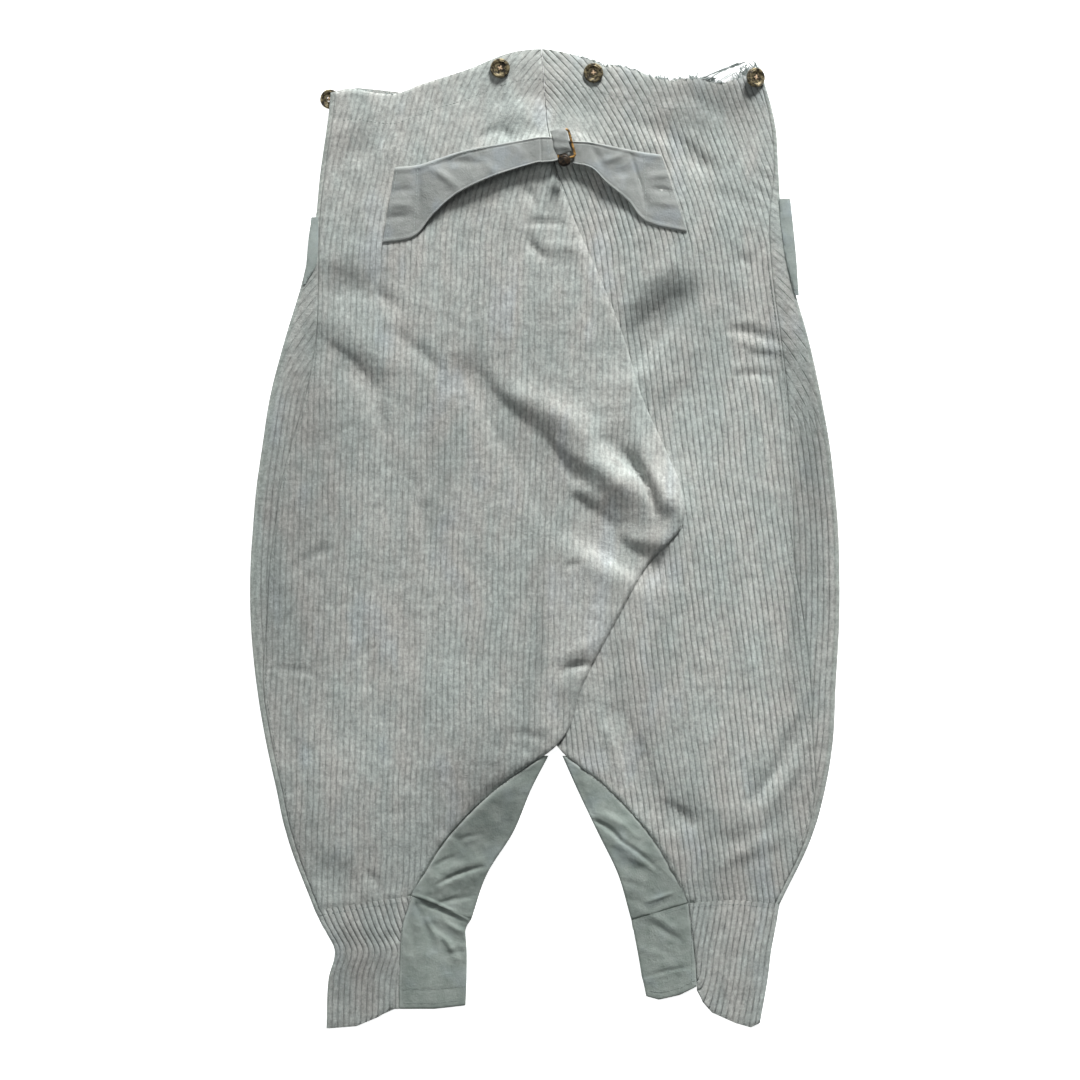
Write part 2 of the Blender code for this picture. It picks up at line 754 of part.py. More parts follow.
def build():
    """Makes every piece of the breeches."""
    for obj in list(bpy.data.objects):
        bpy.data.objects.remove(obj, do_unlink=True)
    cutters = bpy.data.collections.new("Cutters")
    bpy.context.scene.collection.children.link(cutters)
    materials = make_materials()
    corduroy = materials["corduroy"]
    twill = materials["twill"]
    for word, side in (("left", -1), ("right", 1)):
        make_back(f"back_{word}", side, corduroy)
        make_front(f"front_{word}", side, corduroy)
        make_gusset(f"gusset_{word}", side, twill)
        make_lower(f"knee_{word}", word, "_edge", -side, KNEE_SEAM, CORD_HEM, CORD_WALL,
                   FLAT_WALL, 1, corduroy)
        make_lower(f"calf_{word}", word, "_inner", side, GUSSET_FOOT, TWILL_HEM, TWILL, TWILL,
                   0, twill)
    make_flat_strip("pocket_left", LEFT_FACING, lambda x, y: cords_top(x, y) + SEAM_GAP, twill)
    make_flat_strip("pocket_right", RIGHT_FACING, lambda x, y: cords_top(x, y) + SEAM_GAP, twill)
    make_flat_strip("fly_placket", PLACKET,
                    lambda x, y: ground(x, y) + FLAT_WALL + SEAM_GAP, twill)
    make_strap("strap_left", LEFT_STRAP, materials["strap"])
    make_strap("strap_right", RIGHT_STRAP, materials["strap"])
    make_buckle(materials)
    for button in BUTTONS:
        make_button(button, cords_top(button.x, button.y) + button.rise, materials, cutters)
    make_button(HIDDEN_BUTTON, HIDDEN_BUTTON.rise, materials, cutters)


build()
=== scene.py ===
"""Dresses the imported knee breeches: cloth, fittings, sewing, fraying, light and camera.

Sizes in the tables are in millimetres, in the frame of the solids: the waist points to +Y,
the back of the garment faces +Z. It runs as a script and is laid out as an add-on.
"""

import math
from collections import namedtuple

import bmesh
import bpy
import numpy as np
from bpy.props import FloatProperty, FloatVectorProperty, PointerProperty
from mathutils import Matrix, Vector


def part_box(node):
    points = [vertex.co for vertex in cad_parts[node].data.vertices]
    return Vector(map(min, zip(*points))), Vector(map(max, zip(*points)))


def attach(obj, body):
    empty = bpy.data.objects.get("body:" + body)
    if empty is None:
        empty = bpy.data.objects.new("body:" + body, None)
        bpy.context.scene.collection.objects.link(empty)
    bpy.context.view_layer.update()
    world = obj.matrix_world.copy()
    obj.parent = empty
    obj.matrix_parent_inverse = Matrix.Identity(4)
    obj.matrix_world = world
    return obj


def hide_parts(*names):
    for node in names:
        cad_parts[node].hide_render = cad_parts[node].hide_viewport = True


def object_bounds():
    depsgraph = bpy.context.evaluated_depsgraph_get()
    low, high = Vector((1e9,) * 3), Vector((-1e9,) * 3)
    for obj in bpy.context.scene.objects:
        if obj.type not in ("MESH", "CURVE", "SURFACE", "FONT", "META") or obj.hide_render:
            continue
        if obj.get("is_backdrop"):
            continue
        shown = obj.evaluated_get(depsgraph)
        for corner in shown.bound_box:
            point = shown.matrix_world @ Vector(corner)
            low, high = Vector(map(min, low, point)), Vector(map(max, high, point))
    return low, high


bl_info = {
    "name": "Knee breeches",
    "version": (1, 0, 0),
    "blender": (4, 5, 0),
    "location": "3D View > Sidebar > Breeches",
    "description": "Dresses laid-out corduroy knee breeches",
    "category": "Object",
}

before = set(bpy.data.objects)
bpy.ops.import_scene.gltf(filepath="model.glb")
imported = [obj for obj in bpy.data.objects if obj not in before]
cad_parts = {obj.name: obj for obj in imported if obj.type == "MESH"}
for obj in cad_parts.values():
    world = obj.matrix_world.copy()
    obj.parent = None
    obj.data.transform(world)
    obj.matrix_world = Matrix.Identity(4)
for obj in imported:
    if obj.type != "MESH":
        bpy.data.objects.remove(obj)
CAD_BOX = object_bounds()
MM = 0.001

# Cloth, as in the solids
WALE = 5.0
CORD_WALL = 1.2
CORD_RISE = 1.0
FLAT_WALL = 1.6
TWILL = 1.0
SEAM_GAP = 0.1             # drawn closer than the solids' 0.3, as the seams are sewn
LAYER_GAP = 0.4
OVERLAP_RISE = 3.0
OVERLAP_RAMP = 28.0
OVERLAP_CLEAR = 3.0
TURN = 2.5                # cloth taken up by each half of a folded edge
TURN_DEPTH = 2.0          # how far a folded edge reaches into the leg
TURN_INSIDE = 2.7
SEAM_ROLL = (2.5, 0.9)    # width and drop of a back's seamed edges

# Fineness of the dressed cloth
ROW_STEP = 3.2            # between two rows across a leg
FLAT_STEP = 12.0          # between columns on the surface beneath
PLAIN_STEP = 1.6          # between columns of plain twill
PLAIN_ROW_STEP = 1.6
INSIDE_WALES = 2          # one column inside a wall for so many wales

# The thigh, a row for each section from the waist to the knee seam
Thigh = namedtuple("Thigh", "y left_edge left_seam left_inner right_inner right_seam right_edge")
THIGH = [Thigh(*row) for row in (
    (400, -186, -182, -3, -3, 184, 188), (362, -189, -185, 2, 2, 196, 200),
    (322, -195, -191, 9, 9, 199, 203), (275, -200, -196, 27, 10, 195, 206),
    (225, -211, -197, 49, 12, 198, 215), (175, -226, -199, 69, 15, 205, 229),
    (125, -239, -208, 84, 19, 211, 240), (80, -246, -221, 104, 23, 214, 248),
    (45, -251, -230, 118, 25, 216, 252), (10, -254, -235, 118, 26, 216, 255),
    (-20, -256, -239, 91, 26, 217, 256), (-70, -256, -242, 62, 24, 225, 256),
    (-125, -251, -245, 33, 18, 231, 253), (-179, -242, -237, 10, 10, 233, 250),
    (-215, -234, -229, -40, 53, 235, 244), (-255, -225, -220, -81, 90, 228, 233),
    (-310, -200, -196, -116, 125, 200, 204))]
FORK_X = 10
FORK_Y = -179
CENTRE_FRONT_Y = 383
GUSSET_ROW_Y = -215

# The lower leg, a row for each section from the knee seam to the hem
Shin = namedtuple("Shin", "y left_edge left_seam left_inner right_inner right_seam right_edge")
SHIN = [Shin(*row) for row in (
    (-310, -200, -116, -64, 75, 125, 204), (-340, -191, -125, -69, 77, 128, 200),
    (-356, -183, -126, -68, 80, 130, 197), (-380, -188, -127, -68, 84, 132, 194),
    (-420, -190, -127, -69, 88, 132, 187))]

Gusset = namedtuple("Gusset", "y left_inner right_inner")
GUSSET = [Gusset(*row) for row in (
    (-188, 3, 15), (-215, -11, 27), (-255, -28, 46), (-290, -50, 63), (-330, -64, 75))]

# Edges that cross the legs, as points along X
BACK_WAIST = [(-182, 388), (-170, 391), (-147, 388), (-137, 387), (-127, 388), (-112, 394),
              (-69, 408), (-25, 424), (-3, 426), (32, 419), (49, 414), (75, 409), (108, 400),
              (134, 401), (157, 398), (184, 409)]
FRONT_WAIST = [(-186, 388), (-170, 392), (-147, 391), (-100, 386), (0, 383), (100, 388),
               (157, 396), (188, 407)]
KNEE_SEAM = [(-200, -323), (-154, -315), (-116, -310), (125, -316), (163, -313), (204, -317)]
GUSSET_FOOT = [(-116, -310), (-64, -330), (75, -331), (125, -316)]
CORD_HEM = [(-190, -425), (-164, -423), (-145, -415), (-134, -408), (-127, -408), (133, -392),
            (137, -402), (145, -411), (165, -420), (179, -424), (187, -420)]
TWILL_HEM = [(-127, -408), (-96, -408), (-69, -405), (88, -397), (99, -400), (117, -396),
             (133, -388)]

# Run of the cords over the backs, as a sideways shift
LEFT_SLANT = 0.03
RIGHT_SLANT = -0.13
FAN_SHIFT = 60.0
FAN_FOOT = 320.0
FAN_HEIGHT = 210.0
FAN_REACH = 95.0
LEFT_LEAN = 0.24
RIGHT_LEAN = -0.26
LEAN_FOOT = 250.0
LEAN_RAMP = 40.0

# Folds of the solids: ridges rise and troughs sink along a line from one end to the other
Fold = namedtuple("Fold", "x1 y1 x2 y2 half_width rise")
FOLDS = [Fold(*row) for row in (
    # Fullness of the left leg
    (-70, 290, -130, -220, 80, 6.4),
    # Fullness of the right leg
    (120, 270, 150, -210, 62, 5.8),
    # Seat cloth pushed over the right leg
    (30, 75, 95, 30, 26, 7.0),
    # Drag lines from the seat to the fork
    (-65, 141, 1, 49, 18, -4.4), (58, 82, 100, 20, 13, -4.2), (24, 20, 88, -22, 16, -5.0),
    (40, -30, 20, -120, 20, 3.8),
    # Left hip
    (-197, 169, -150, 134, 14, -2.8), (-185, 188, -135, 152, 18, 2.5),
    # Right seat
    (113, 205, 72, 160, 15, -4.0), (130, 190, 95, 140, 20, 3.0),
    # Beside the right side seam
    (207, 150, 226, -95, 12, -2.2),
    # Right thigh towards the knee
    (244, -138, 182, -221, 16, -2.6), (225, -165, 165, -240, 22, 3.0),
    (217, -278, 160, -297, 14, -1.9), (63, -159, 88, -213, 12, -2.2),
    (81, -227, 124, -244, 14, -1.9),
    # Left knee
    (-212, -275, -172, -300, 14, -1.9),
    # Gussets
    (43, -244, 79, -273, 10, 2.0), (61, -276, 118, -303, 9, -1.5), (-91, -300, -54, -285, 10, 2.0),
    # Under the waist
    (-41, 388, -33, 350, 12, -0.8), (86, 352, 137, 343, 16, 1.6))]

# Finer creases of the dressed cloth; bow is how far the middle leaves the straight line
Crease = namedtuple("Crease", "x1 y1 x2 y2 bow half_width rise")
CREASES = [Crease(*row) for row in (
    # Seat drag lines
    (-40, 128, 48, 78, 8, 12, 2.6), (-38, 108, 50, 52, -7, 10, -3.6),
    (-24, 92, 34, 50, -4, 9, -1.4), (-66, 146, -32, 92, 4, 9, -2.0),
    (-34, 84, 14, 46, 0, 13, -0.7),
    # Bright ridge
    (14, 67, 100, 30, 6, 12.5, 3.2),
    # Hollow beside the ridge
    (50, 86, 96, 24, 8, 5, -3.2),
    # Lip of the free edge
    (76, 116, 114, 26, -7, 8, 2.0),
    # Arc under the ridge
    (42, 14, 94, -23, -9, 6, -4.0), (18, -8, 78, -42, 2, 14, 1.8), (58, 10, 100, -2, -5, 9, 2.0),
    (28, 30, 60, 10, -4, 7, -2.2), (20, 46, 44, 34, 2, 6, 0.9), (18, -24, 32, -21, 1, 2.5, -1.2),
    (14, -114, 42, -109, 2, 3, -1.8), (16, -100, 44, -90, 0, 6, 1.0),
    # Where the seat's facet begins
    (-6, -30, -20, -150, -3, 9, -1.3), (-28, -168, 2, -176, 2, 3, -1.3),
    # Left hip and thigh
    (-200, 171, -150, 133, 3, 5, -1.6), (-148, 122, -138, 68, 3, 7, -1.0),
    (-225, -30, -190, -9, 2, 4, -1.3), (-232, -111, -200, -119, 1, 3, -1.0),
    (-120, 60, -95, -30, 5, 9, -0.8), (-60, -20, -78, -110, -4, 10, -0.8),
    (-165, -60, -150, -150, 3, 9, -0.7), (-216, -272, -178, -306, 3, 4, -1.5),
    (-196, -296, -160, -312, 2, 3, -1.0), (-160, -286, -140, -308, 2, 4, -0.8),
    # Right seat
    (124, 214, 74, 151, -3, 10, -3.0), (96, 186, 71, 152, -1, 6, -1.8),
    (108, 236, 66, 188, -5, 10, 1.6), (146, 196, 100, 128, 5, 10, 0.9),
    (162, 182, 205, 171, 1, 4.5, -2.0), (160, 174, 204, 164, 1, 5, 0.7),
    (168, 143, 206, 141, 1, 3, -1.3), (176, 160, 206, 158, 1, 3, -0.9),
    (168, 244, 182, 238, 0, 4, -1.0), (184, 318, 204, 301, 1, 3, -1.4),
    (181, 306, 200, 292, 1, 3, -1.1),
    # Beside the right side seam
    (208, 150, 231, -108, 5, 4, -1.9), (199, 120, 214, -60, 4, 6, 1.0),
    (245, -138, 208, -186, -3, 6, -2.0), (212, -178, 180, -226, 3, 6, -2.0),
    (226, -176, 196, -232, 2, 6, 1.4), (219, -278, 164, -298, -3, 4, -1.8),
    (206, -260, 150, -284, -3, 7, 1.0), (80, -226, 126, -245, 3, 5, -1.7),
    (62, -156, 90, -216, 4, 6, -1.8), (44, -150, 66, -206, 4, 6, 1.0),
    # Under the waist
    (-45, 394, -38, 378, 1, 4, -1.6), (-55, 350, -27, 345, 7, 4.5, -2.0),
    (-30, 404, -2, 386, 1, 8, -1.2), (-36, 374, -4, 364, 2, 9, 1.4),
    (80, 361, 141, 319, 7, 6, -2.0), (88, 372, 156, 360, 6, 10, 1.3),
    (108, 334, 146, 323, 3, 6, -1.2), (120, 392, 140, 376, 1, 4, -0.8),
    (-16, 304, -8, 289, 1, 3, -1.2), (-15, 274, 17, 273, 1, 2.5, -1.4),
    (-16, 262, 2, 244, -2, 4, -1.5), (6, 256, 34, 250, 1, 6, 0.9),
    (-190, 369, -168, 362, 1, 4, -1.0), (-180, 345, -150, 330, 2, 8, -0.8),
    (-197, 232, -160, 216, -3, 9, -1.7), (-130, 178, -92, 146, 2, 6, -1.3),
    (-110, 140, -92, 40, -4, 9, -0.9), (-150, 217, -126, 203, -2, 6, -1.2),
    (142, 300, 186, 288, 3, 7, -0.8),
    # Left gusset
    (-5, -197, -66, -236, -5, 4, -1.5), (-92, -299, -52, -284, 2, 2.0, -1.1),
    (-94, -292, -56, -278, 2, 4, 0.6), (-100, -286, -76, -274, 1, 2.0, -0.5),
    (-98, -318, -62, -310, 1, 2.0, -0.9), (-112, -309, -68, -330, 1, 1.7, 0.8),
    (-108, -316, -74, -331, 1, 1.7, -0.8), (-98, -334, -69, -350, -2, 2.2, -1.3),
    (-90, -330, -66, -343, -1, 2.6, 0.8), (-92, -340, -76, -366, 1, 2.6, 1.0),
    (-112, -318, -98, -356, 1, 2.2, -0.9), (-104, -330, -92, -352, 1, 2.4, 0.7),
    (-118, -330, -114, -366, 1, 2.2, -0.6), (-109, -370, -80, -376, 1, 2.4, -0.6),
    (-88, -362, -68, -358, 1, 2.4, -0.6), (-76, -262, -56, -256, 1, 2.0, -0.5),
    (-92, -250, -70, -268, 2, 2.6, -0.5), (-124, -392, -68, -390, 0, 1.0, -0.5),
    # Right gusset
    (26, -200, 42, -240, -2, 2.4, -1.0), (40, -243, 66, -261, 2, 2.0, -1.6),
    (60, -258, 112, -302, 3, 1.8, -0.8), (48, -238, 80, -258, 2, 4, 0.9),
    (62, -281, 118, -306, 2, 1.8, -1.4), (66, -274, 112, -297, 2, 4, 0.7),
    (66, -296, 92, -306, 1, 2.0, -0.8), (71, -311, 88, -318, 0, 1.8, -0.7),
    (88, -315, 117, -305, 0, 1.6, 0.8), (90, -322, 119, -311, 1, 2.0, -0.6),
    (77, -330, 121, -351, 2, 1.8, -1.3), (80, -322, 114, -341, 2, 3.5, 0.6),
    (88, -352, 112, -362, 1, 2.6, -0.5), (84, -381, 128, -371, 1, 1.2, -0.6),
    (121, -322, 131, -390, 1, 2.2, -1.8),
    # Lower legs
    (-144, -352, -128, -344, 1, 3, -1.4), (-176, -346, -150, -372, 2, 5, -1.0),
    (-152, -345, -146, -400, 2, 5, -0.8), (142, -330, 136, -398, 3, 4, -1.0),
    (158, -330, 150, -398, 3, 6, 0.8), (176, -340, 182, -400, 2, 6, 0.7))]

CREASE_GAIN = 2.0         # how much deeper the creases are than the table's values

# The cloth bunched under the cinch straps, from left to right
Bunch = namedtuple("Bunch", "x y rise")
BUNCHES = [Bunch(*row) for row in (
    (-98, 300, 0.0), (-80, 318, 1.8), (-60, 327, 4.0), (-36, 334, 6.2), (-8, 341, 7.4),
    (16, 343, 5.4), (38, 338, 5.0), (56, 328, 3.4), (74, 316, 1.4), (90, 306, 0.0))]
BUNCH_WIDTH = 8.5


# Pocket facings that show past the folded edges
Facing = namedtuple("Facing", "y outer inner")
LEFT_FACING = [Facing(*row) for row in (
    (280, -203, -197), (256, -206, -197), (238, -207.5, -199), (222, -210, -208))]
RIGHT_FACING = [Facing(*row) for row in (
    (296, 213, 203.2), (268, 216, 205.5), (242, 218.5, 209.5), (226, 219.5, 213.5),
    (212, 220.5, 217.5))]
PLACKET = [Facing(*row) for row in (
    (376, -16, 18), (290, -14, 20), (205, -10, 18))]
PLACKET_RISE = 1.9
PLACKET_REACH = 75.0
PLACKET_RAMP = 50.0

# Cinch straps, a row for each station from the sewn end to the buckle; rise is over the cords
Station = namedtuple("Station", "x_top y_top x_low y_low rise")
LEFT_STRAP = [Station(*row) for row in (
    (-130, 323, -141, 257, 0.5), (-110, 325, -114, 262, 0.5), (-90, 331, -97, 281, 3.4),
    (-69, 337, -76, 299, 6.8), (-40, 342, -44, 314, 10.0), (-11, 347, -10, 325, 11.8),
    (-4, 348, -1, 326, 12.0), (5, 348, 8, 327, 11.4), (10, 348, 13, 329, 9.0),
    (15, 348, 18, 331, 8.0))]
RIGHT_STRAP = [Station(*row) for row in (
    (101, 334, 123, 266, 0.5), (86, 336, 88, 275, 0.5), (74, 338, 72, 293, 3.4),
    (56, 341, 54, 308, 7.2), (39, 344, 41, 321, 8.4), (23, 345, 27, 325, 7.2),
    (9, 347, 12, 327, 6.3))]

BUCKLE_CENTRE = (14.5, 341.0)
BUCKLE_TURN = 15.0
HIDDEN_BUTTON = (-187.0, 383.0)
HIDDEN_LIFT = 3.9
HIDDEN_REACH = (26.0, 60.0)

# Broad soiled and faded places of the cloth, with painted shade where folds, seams and troughs fall
# into shade and painted light where ridges catch it: how far they reach and how much they change it
SoftPatch = namedtuple("SoftPatch", "x y reach_x reach_y change")
SOIL_AND_PAINTED_SHADING = [SoftPatch(*row) for row in (
    (-228, -50, 32, 150, -0.16), (-165, -375, 44, 45, -0.30), (100, 195, 34, 40, -0.10),
    (-181, 226, 20, 14, -0.14), (-117, 161, 26, 14, -0.10), (48, -50, 32, 45, 0.10),
    (-20, 90, 60, 40, -0.08), (232, 60, 24, 110, -0.12), (150, -40, 50, 110, 0.05),
    (-50, -235, 46, 42, -0.14), (-90, -345, 40, 30, -0.08), (62, -232, 26, 34, 0.12),
    (86, -318, 40, 34, -0.10), (-168, 236, 24, 10, -0.10), (-14, 364, 34, 16, 0.14),
    (28, 358, 20, 12, 0.10), (-8, 392, 18, 9, -0.16), (-44, 386, 9, 9, -0.16),
    (172, 380, 26, 20, -0.15), (150, 300, 50, 60, -0.06), (40, 385, 60, 14, -0.08),
    (100, 205, 34, 20, -0.14), (180, 175, 26, 12, -0.12), (206, 190, 16, 70, -0.14),
    (-190, 130, 60, 130, -0.08), (-150, 232, 46, 16, -0.12), (-70, 130, 36, 60, -0.06),
    (20, 60, 60, 8, 0.04), (10, 90, 34, 14, -0.10), (60, 30, 26, 12, -0.12),
    (-20, 40, 40, 50, -0.06), (70, -30, 30, 30, 0.12), (228, -180, 24, 60, -0.12),
    (-210, -260, 40, 50, -0.12), (-125, 20, 120, 300, -0.10), (-205, 0, 30, 160, -0.08),
    (108, 212, 50, 28, -0.26), (135, 388, 50, 24, -0.32), (234, 80, 18, 100, -0.22),
    (-55, -236, 44, 40, -0.20), (-98, -352, 26, 34, 0.26), (70, -262, 30, 30, 0.08),
    (-30, -170, 40, 16, -0.14), (-60, -205, 50, 14, -0.12), (168, -150, 60, 70, 0.06),
    (180, -300, 40, 12, -0.14), (-195, -285, 30, 14, -0.14), (60, 200, 30, 50, 0.08),
    (80, -120, 26, 80, -0.08), (118, 70, 24, 80, 0.08), (-110, 190, 30, 60, 0.06),
    (-95, 60, 20, 70, -0.10), (-150, 40, 20, 60, 0.08), (-165, -180, 40, 40, 0.08),
    (-90, -120, 30, 60, 0.07), (-208, 150, 14, 60, -0.10), (214, 170, 14, 60, -0.08),
    (-240, 0, 12, 160, -0.10), (150, 60, 60, 60, 0.06), (58, 56, 36, 12, 0.10),
    # Painted shade and painted light in bands down the right thigh, along its troughs and ridges
    (66, -115, 7, 30, -0.13), (83, -178, 7, 30, -0.14), (160, -60, 8, 32, -0.12),
    (171, -118, 8, 32, -0.14), (180, -85, 9, 48, 0.09), (84, -85, 9, 38, 0.07),
    (214, -100, 10, 40, -0.16), (219, -30, 4, 70, -0.14), (150, -268, 44, 12, 0.12),
    (109, -234, 20, 9, -0.12), (199, -290, 20, 7, -0.14), (150, -301, 40, 6, -0.12),
    # The same on the left, with painted shade along the left gusset seam and a painted highlight
    # above it
    (-4, -74, 7, 55, -0.15), (-17, -145, 8, 32, -0.12), (6, -118, 8, 40, 0.09),
    (-108, -145, 18, 6, -0.12), (-162, -216, 16, 6, -0.12), (-136, -228, 16, 6, -0.10),
    (-172, -196, 18, 8, 0.06), (-180, -255, 20, 8, 0.08), (-30, -183, 16, 7, 0.14),
    (-18, -197, 16, 5, -0.20), (140, 372, 44, 16, -0.12), (-180, 60, 30, 90, -0.05))]

# Places where the cords are rubbed flat: 1 would leave none
SMOOTH = [SoftPatch(*row) for row in (
    (62, 62, 42, 14, 0.95), (104, 44, 14, 34, 0.80), (80, 8, 16, 13, 0.70),
    (52, -22, 32, 40, 0.85), (42, -92, 24, 20, 0.80), (34, -130, 16, 20, 0.80),
    (5, 200, 34, 60, 0.50), (40, 130, 40, 40, 0.45), (-60, 30, 30, 50, 0.30),
    (-120, -80, 40, 60, 0.30), (-110, 290, 40, 30, 0.25), (-16, 366, 30, 15, 0.95),
    (28, 360, 24, 13, 0.90), (-60, 372, 40, 20, 0.55), (132, 366, 32, 13, 0.75),
    (130, 396, 30, 10, 0.55), (-150, 350, 60, 50, 0.35), (178, 330, 20, 30, 0.45),
    (60, -180, 20, 40, 0.60), (-60, -190, 60, 30, 0.30), (120, -160, 40, 60, 0.30),
    (-10, 406, 50, 14, 0.55), (70, 384, 40, 14, 0.35))]

# Width of the band along each folded edge where the cords are worn off, at rising heights
BARE_BANDS = {
    "left": ([-300, -180, 0, 60, 120, 200, 260], [6, 11, 14, 14, 9, 4, 3]),
    "right": ([-300, -180, -60, 60, 120, 170, 220], [5, 7, 7, 8, 8, 6, 4]),
}

# Cords of the folded strips lean inward above these heights, as far as this at the waist
STRIP_LEANS = {"left": (120.0, 0.0030), "right": (80.0, 0.0028)}

# One wale across: place in the wale and height, from one groove to the next
WALE_PROFILE = [(0.0, 0.0), (0.09, 0.60), (0.27, 0.93), (0.5, 1.0), (0.73, 0.93), (0.91, 0.60)]


# Forms

def smooth_step(value):
    """0 below 0, 1 above 1 and a soft rise between."""
    share = np.clip(value, 0.0, 1.0)
    return share * share * (3.0 - 2.0 * share)


def smooth_curve(places, values, at):
    """A soft curve through points, held level beyond its ends."""
    places = np.asarray(places, float)
    values = np.asarray(values, float)
    steps = np.diff(places)
    slopes = np.diff(values) / steps
    tangents = np.empty_like(values)
    tangents[0] = slopes[0]
    tangents[-1] = slopes[-1]
    weights = steps[:-1] + steps[1:]
    tangents[1:-1] = (slopes[:-1] * steps[1:] + slopes[1:] * steps[:-1]) / weights
    at = np.clip(at, places[0], places[-1])
    part = np.clip(np.searchsorted(places, at, side="right") - 1, 0, len(steps) - 1)
    t = (at - places[part]) / steps[part]
    one_less = 1.0 - t
    rise = t * one_less * steps[part]
    start = one_less ** 2 * (1.0 + 2.0 * t) * values[part] + rise * one_less * tangents[part]
    end = t ** 2 * (3.0 - 2.0 * t) * values[part + 1] - rise * t * tangents[part + 1]
    return start + end


def section(table, column, y):
    """A column of a section table at any height on the leg."""
    return smooth_curve([row.y for row in reversed(table)],
                        [getattr(row, column) for row in reversed(table)], y)


def edge_y(points, x):
    """The Y of an edge that crosses the garment."""
    return np.interp(x, [p[0] for p in points], [p[1] for p in points])


def soft_edge_y(points, x):
    """The same for an edge without corners."""
    return smooth_curve([p[0] for p in points], [p[1] for p in points], x)


def gusset_seam(word, y):
    """The X of a gusset's seam, which ends at the knee seam."""
    ends = [getattr(row, word + "_inner") for row in THIGH]
    heights = [row.y for row in THIGH[:-1]] + [float(edge_y(KNEE_SEAM, ends[-1]))]
    return smooth_curve(heights[::-1], ends[::-1], y)


def soft_noise(x, y, size, seed):
    """Soft unevenness between -1 and 1, with one random value for each cell of a lattice."""
    cells = 64
    grid = np.random.default_rng(seed).uniform(-1.0, 1.0, (cells, cells))
    u = np.asarray(x) / size + cells / 2
    v = np.asarray(y) / size + cells / 2
    i = np.floor(u).astype(int)
    j = np.floor(v).astype(int)
    a = smooth_step(u - i)
    b = smooth_step(v - j)
    near = grid[i % cells, j % cells] * (1 - a) + grid[(i + 1) % cells, j % cells] * a
    far = grid[i % cells, (j + 1) % cells] * (1 - a) + grid[(i + 1) % cells, (j + 1) % cells] * a
    return near * (1 - b) + far * b


def fold_height(x, y, fold):
    """The rise of one of the solids' folds at a place."""
    length_x = fold.x2 - fold.x1
    length_y = fold.y2 - fold.y1
    along = (x - fold.x1) * length_x + (y - fold.y1) * length_y
    share = np.clip(along / (length_x ** 2 + length_y ** 2), 0.0, 1.0)
    away = np.hypot(x - fold.x1 - share * length_x, y - fold.y1 - share * length_y)
    return fold.rise * np.exp(-(away / fold.half_width) ** 2)


def crease_height(x, y, crease):
    """The rise of a crease: it bows, and thins out towards both ends."""
    length_x = crease.x2 - crease.x1
    length_y = crease.y2 - crease.y1
    length = math.hypot(length_x, length_y)
    t = ((x - crease.x1) * length_x + (y - crease.y1) * length_y) / length ** 2
    inside = np.clip(t, 0.0, 1.0)
    across = ((y - crease.y1) * length_x - (x - crease.x1) * length_y) / length
    across = across - crease.bow * 4.0 * inside * (1.0 - inside)
    beyond = np.maximum(np.abs(t - 0.5) - 0.5, 0.0) * length
    width = crease.half_width
    ends = 0.35 + 0.65 * np.sin(np.pi * inside)
    return CREASE_GAIN * crease.rise * ends * np.exp(-(across ** 2 + beyond ** 2) / width ** 2)


def ground(x, y):
    """Height of the underside: flat, but for the place that rests on the hidden button."""
    near, far = HIDDEN_REACH
    distance = np.hypot(x - HIDDEN_BUTTON[0], y - HIDDEN_BUTTON[1])
    return HIDDEN_LIFT * smooth_step((far - distance) / (far - near))


def bunched(x, y):
    """How far the cloth bunches up under the straps, which hide the crest."""
    places = [row.x for row in BUNCHES]
    crest = smooth_curve(places, [row.y for row in BUNCHES], x)
    rise = smooth_curve(places, [row.rise for row in BUNCHES], x)
    return np.maximum(rise, 0.0) * np.exp(-((y - crest) / BUNCH_WIDTH) ** 2)


def underside(x, y):
    """Height of the upper layer's inner face, creases and all."""
    loft = bunched(x, y)
    for fold in FOLDS:
        loft = loft + fold_height(x, y, fold)
    for crease in CREASES:
        loft = loft + crease_height(x, y, crease)
    loft = loft + 0.5 * soft_noise(x, y, 42.0, 3) + 0.3 * soft_noise(x, y, 17.0, 4)
    loft = loft + 0.24 * soft_noise(x, 2.2 * y, 15.0, 21)
    twill = smooth_step((-185.0 - y) / 30.0) * smooth_step((126.0 - np.abs(x)) / 8.0)
    loft = loft + twill * (0.30 * soft_noise(x, y, 7.0, 9) + 0.14 * soft_noise(x, y, 3.5, 10))
    loft = 0.5 * (loft + np.sqrt(loft ** 2 + 0.6))
    placket = PLACKET_RISE * smooth_step((PLACKET_REACH - np.abs(x)) / PLACKET_RAMP)
    placket = placket * smooth_step((y - PLACKET[-1].y) / PLACKET_RAMP + 1.0)
    return ground(x, y) + FLAT_WALL + LAYER_GAP + loft + placket


def left_back_underside(x, y):
    """The left back's inner face, which climbs over the right back below the strap."""
    edge = section(THIGH, "right_inner", y)
    across = smooth_step((x - edge + OVERLAP_CLEAR) / OVERLAP_RAMP + 1.0)
    above = smooth_step((THIGH[1].y - y) / (THIGH[1].y - THIGH[2].y))
    below = smooth_step((y - GUSSET_ROW_Y) / (FORK_Y - GUSSET_ROW_Y))
    return underside(x, y) + OVERLAP_RISE * across * above * below


def cords_top(x, y):
    """Height of the cords' crests, on which straps and buttons lie."""
    return underside(x, y) + CORD_WALL + CORD_RISE


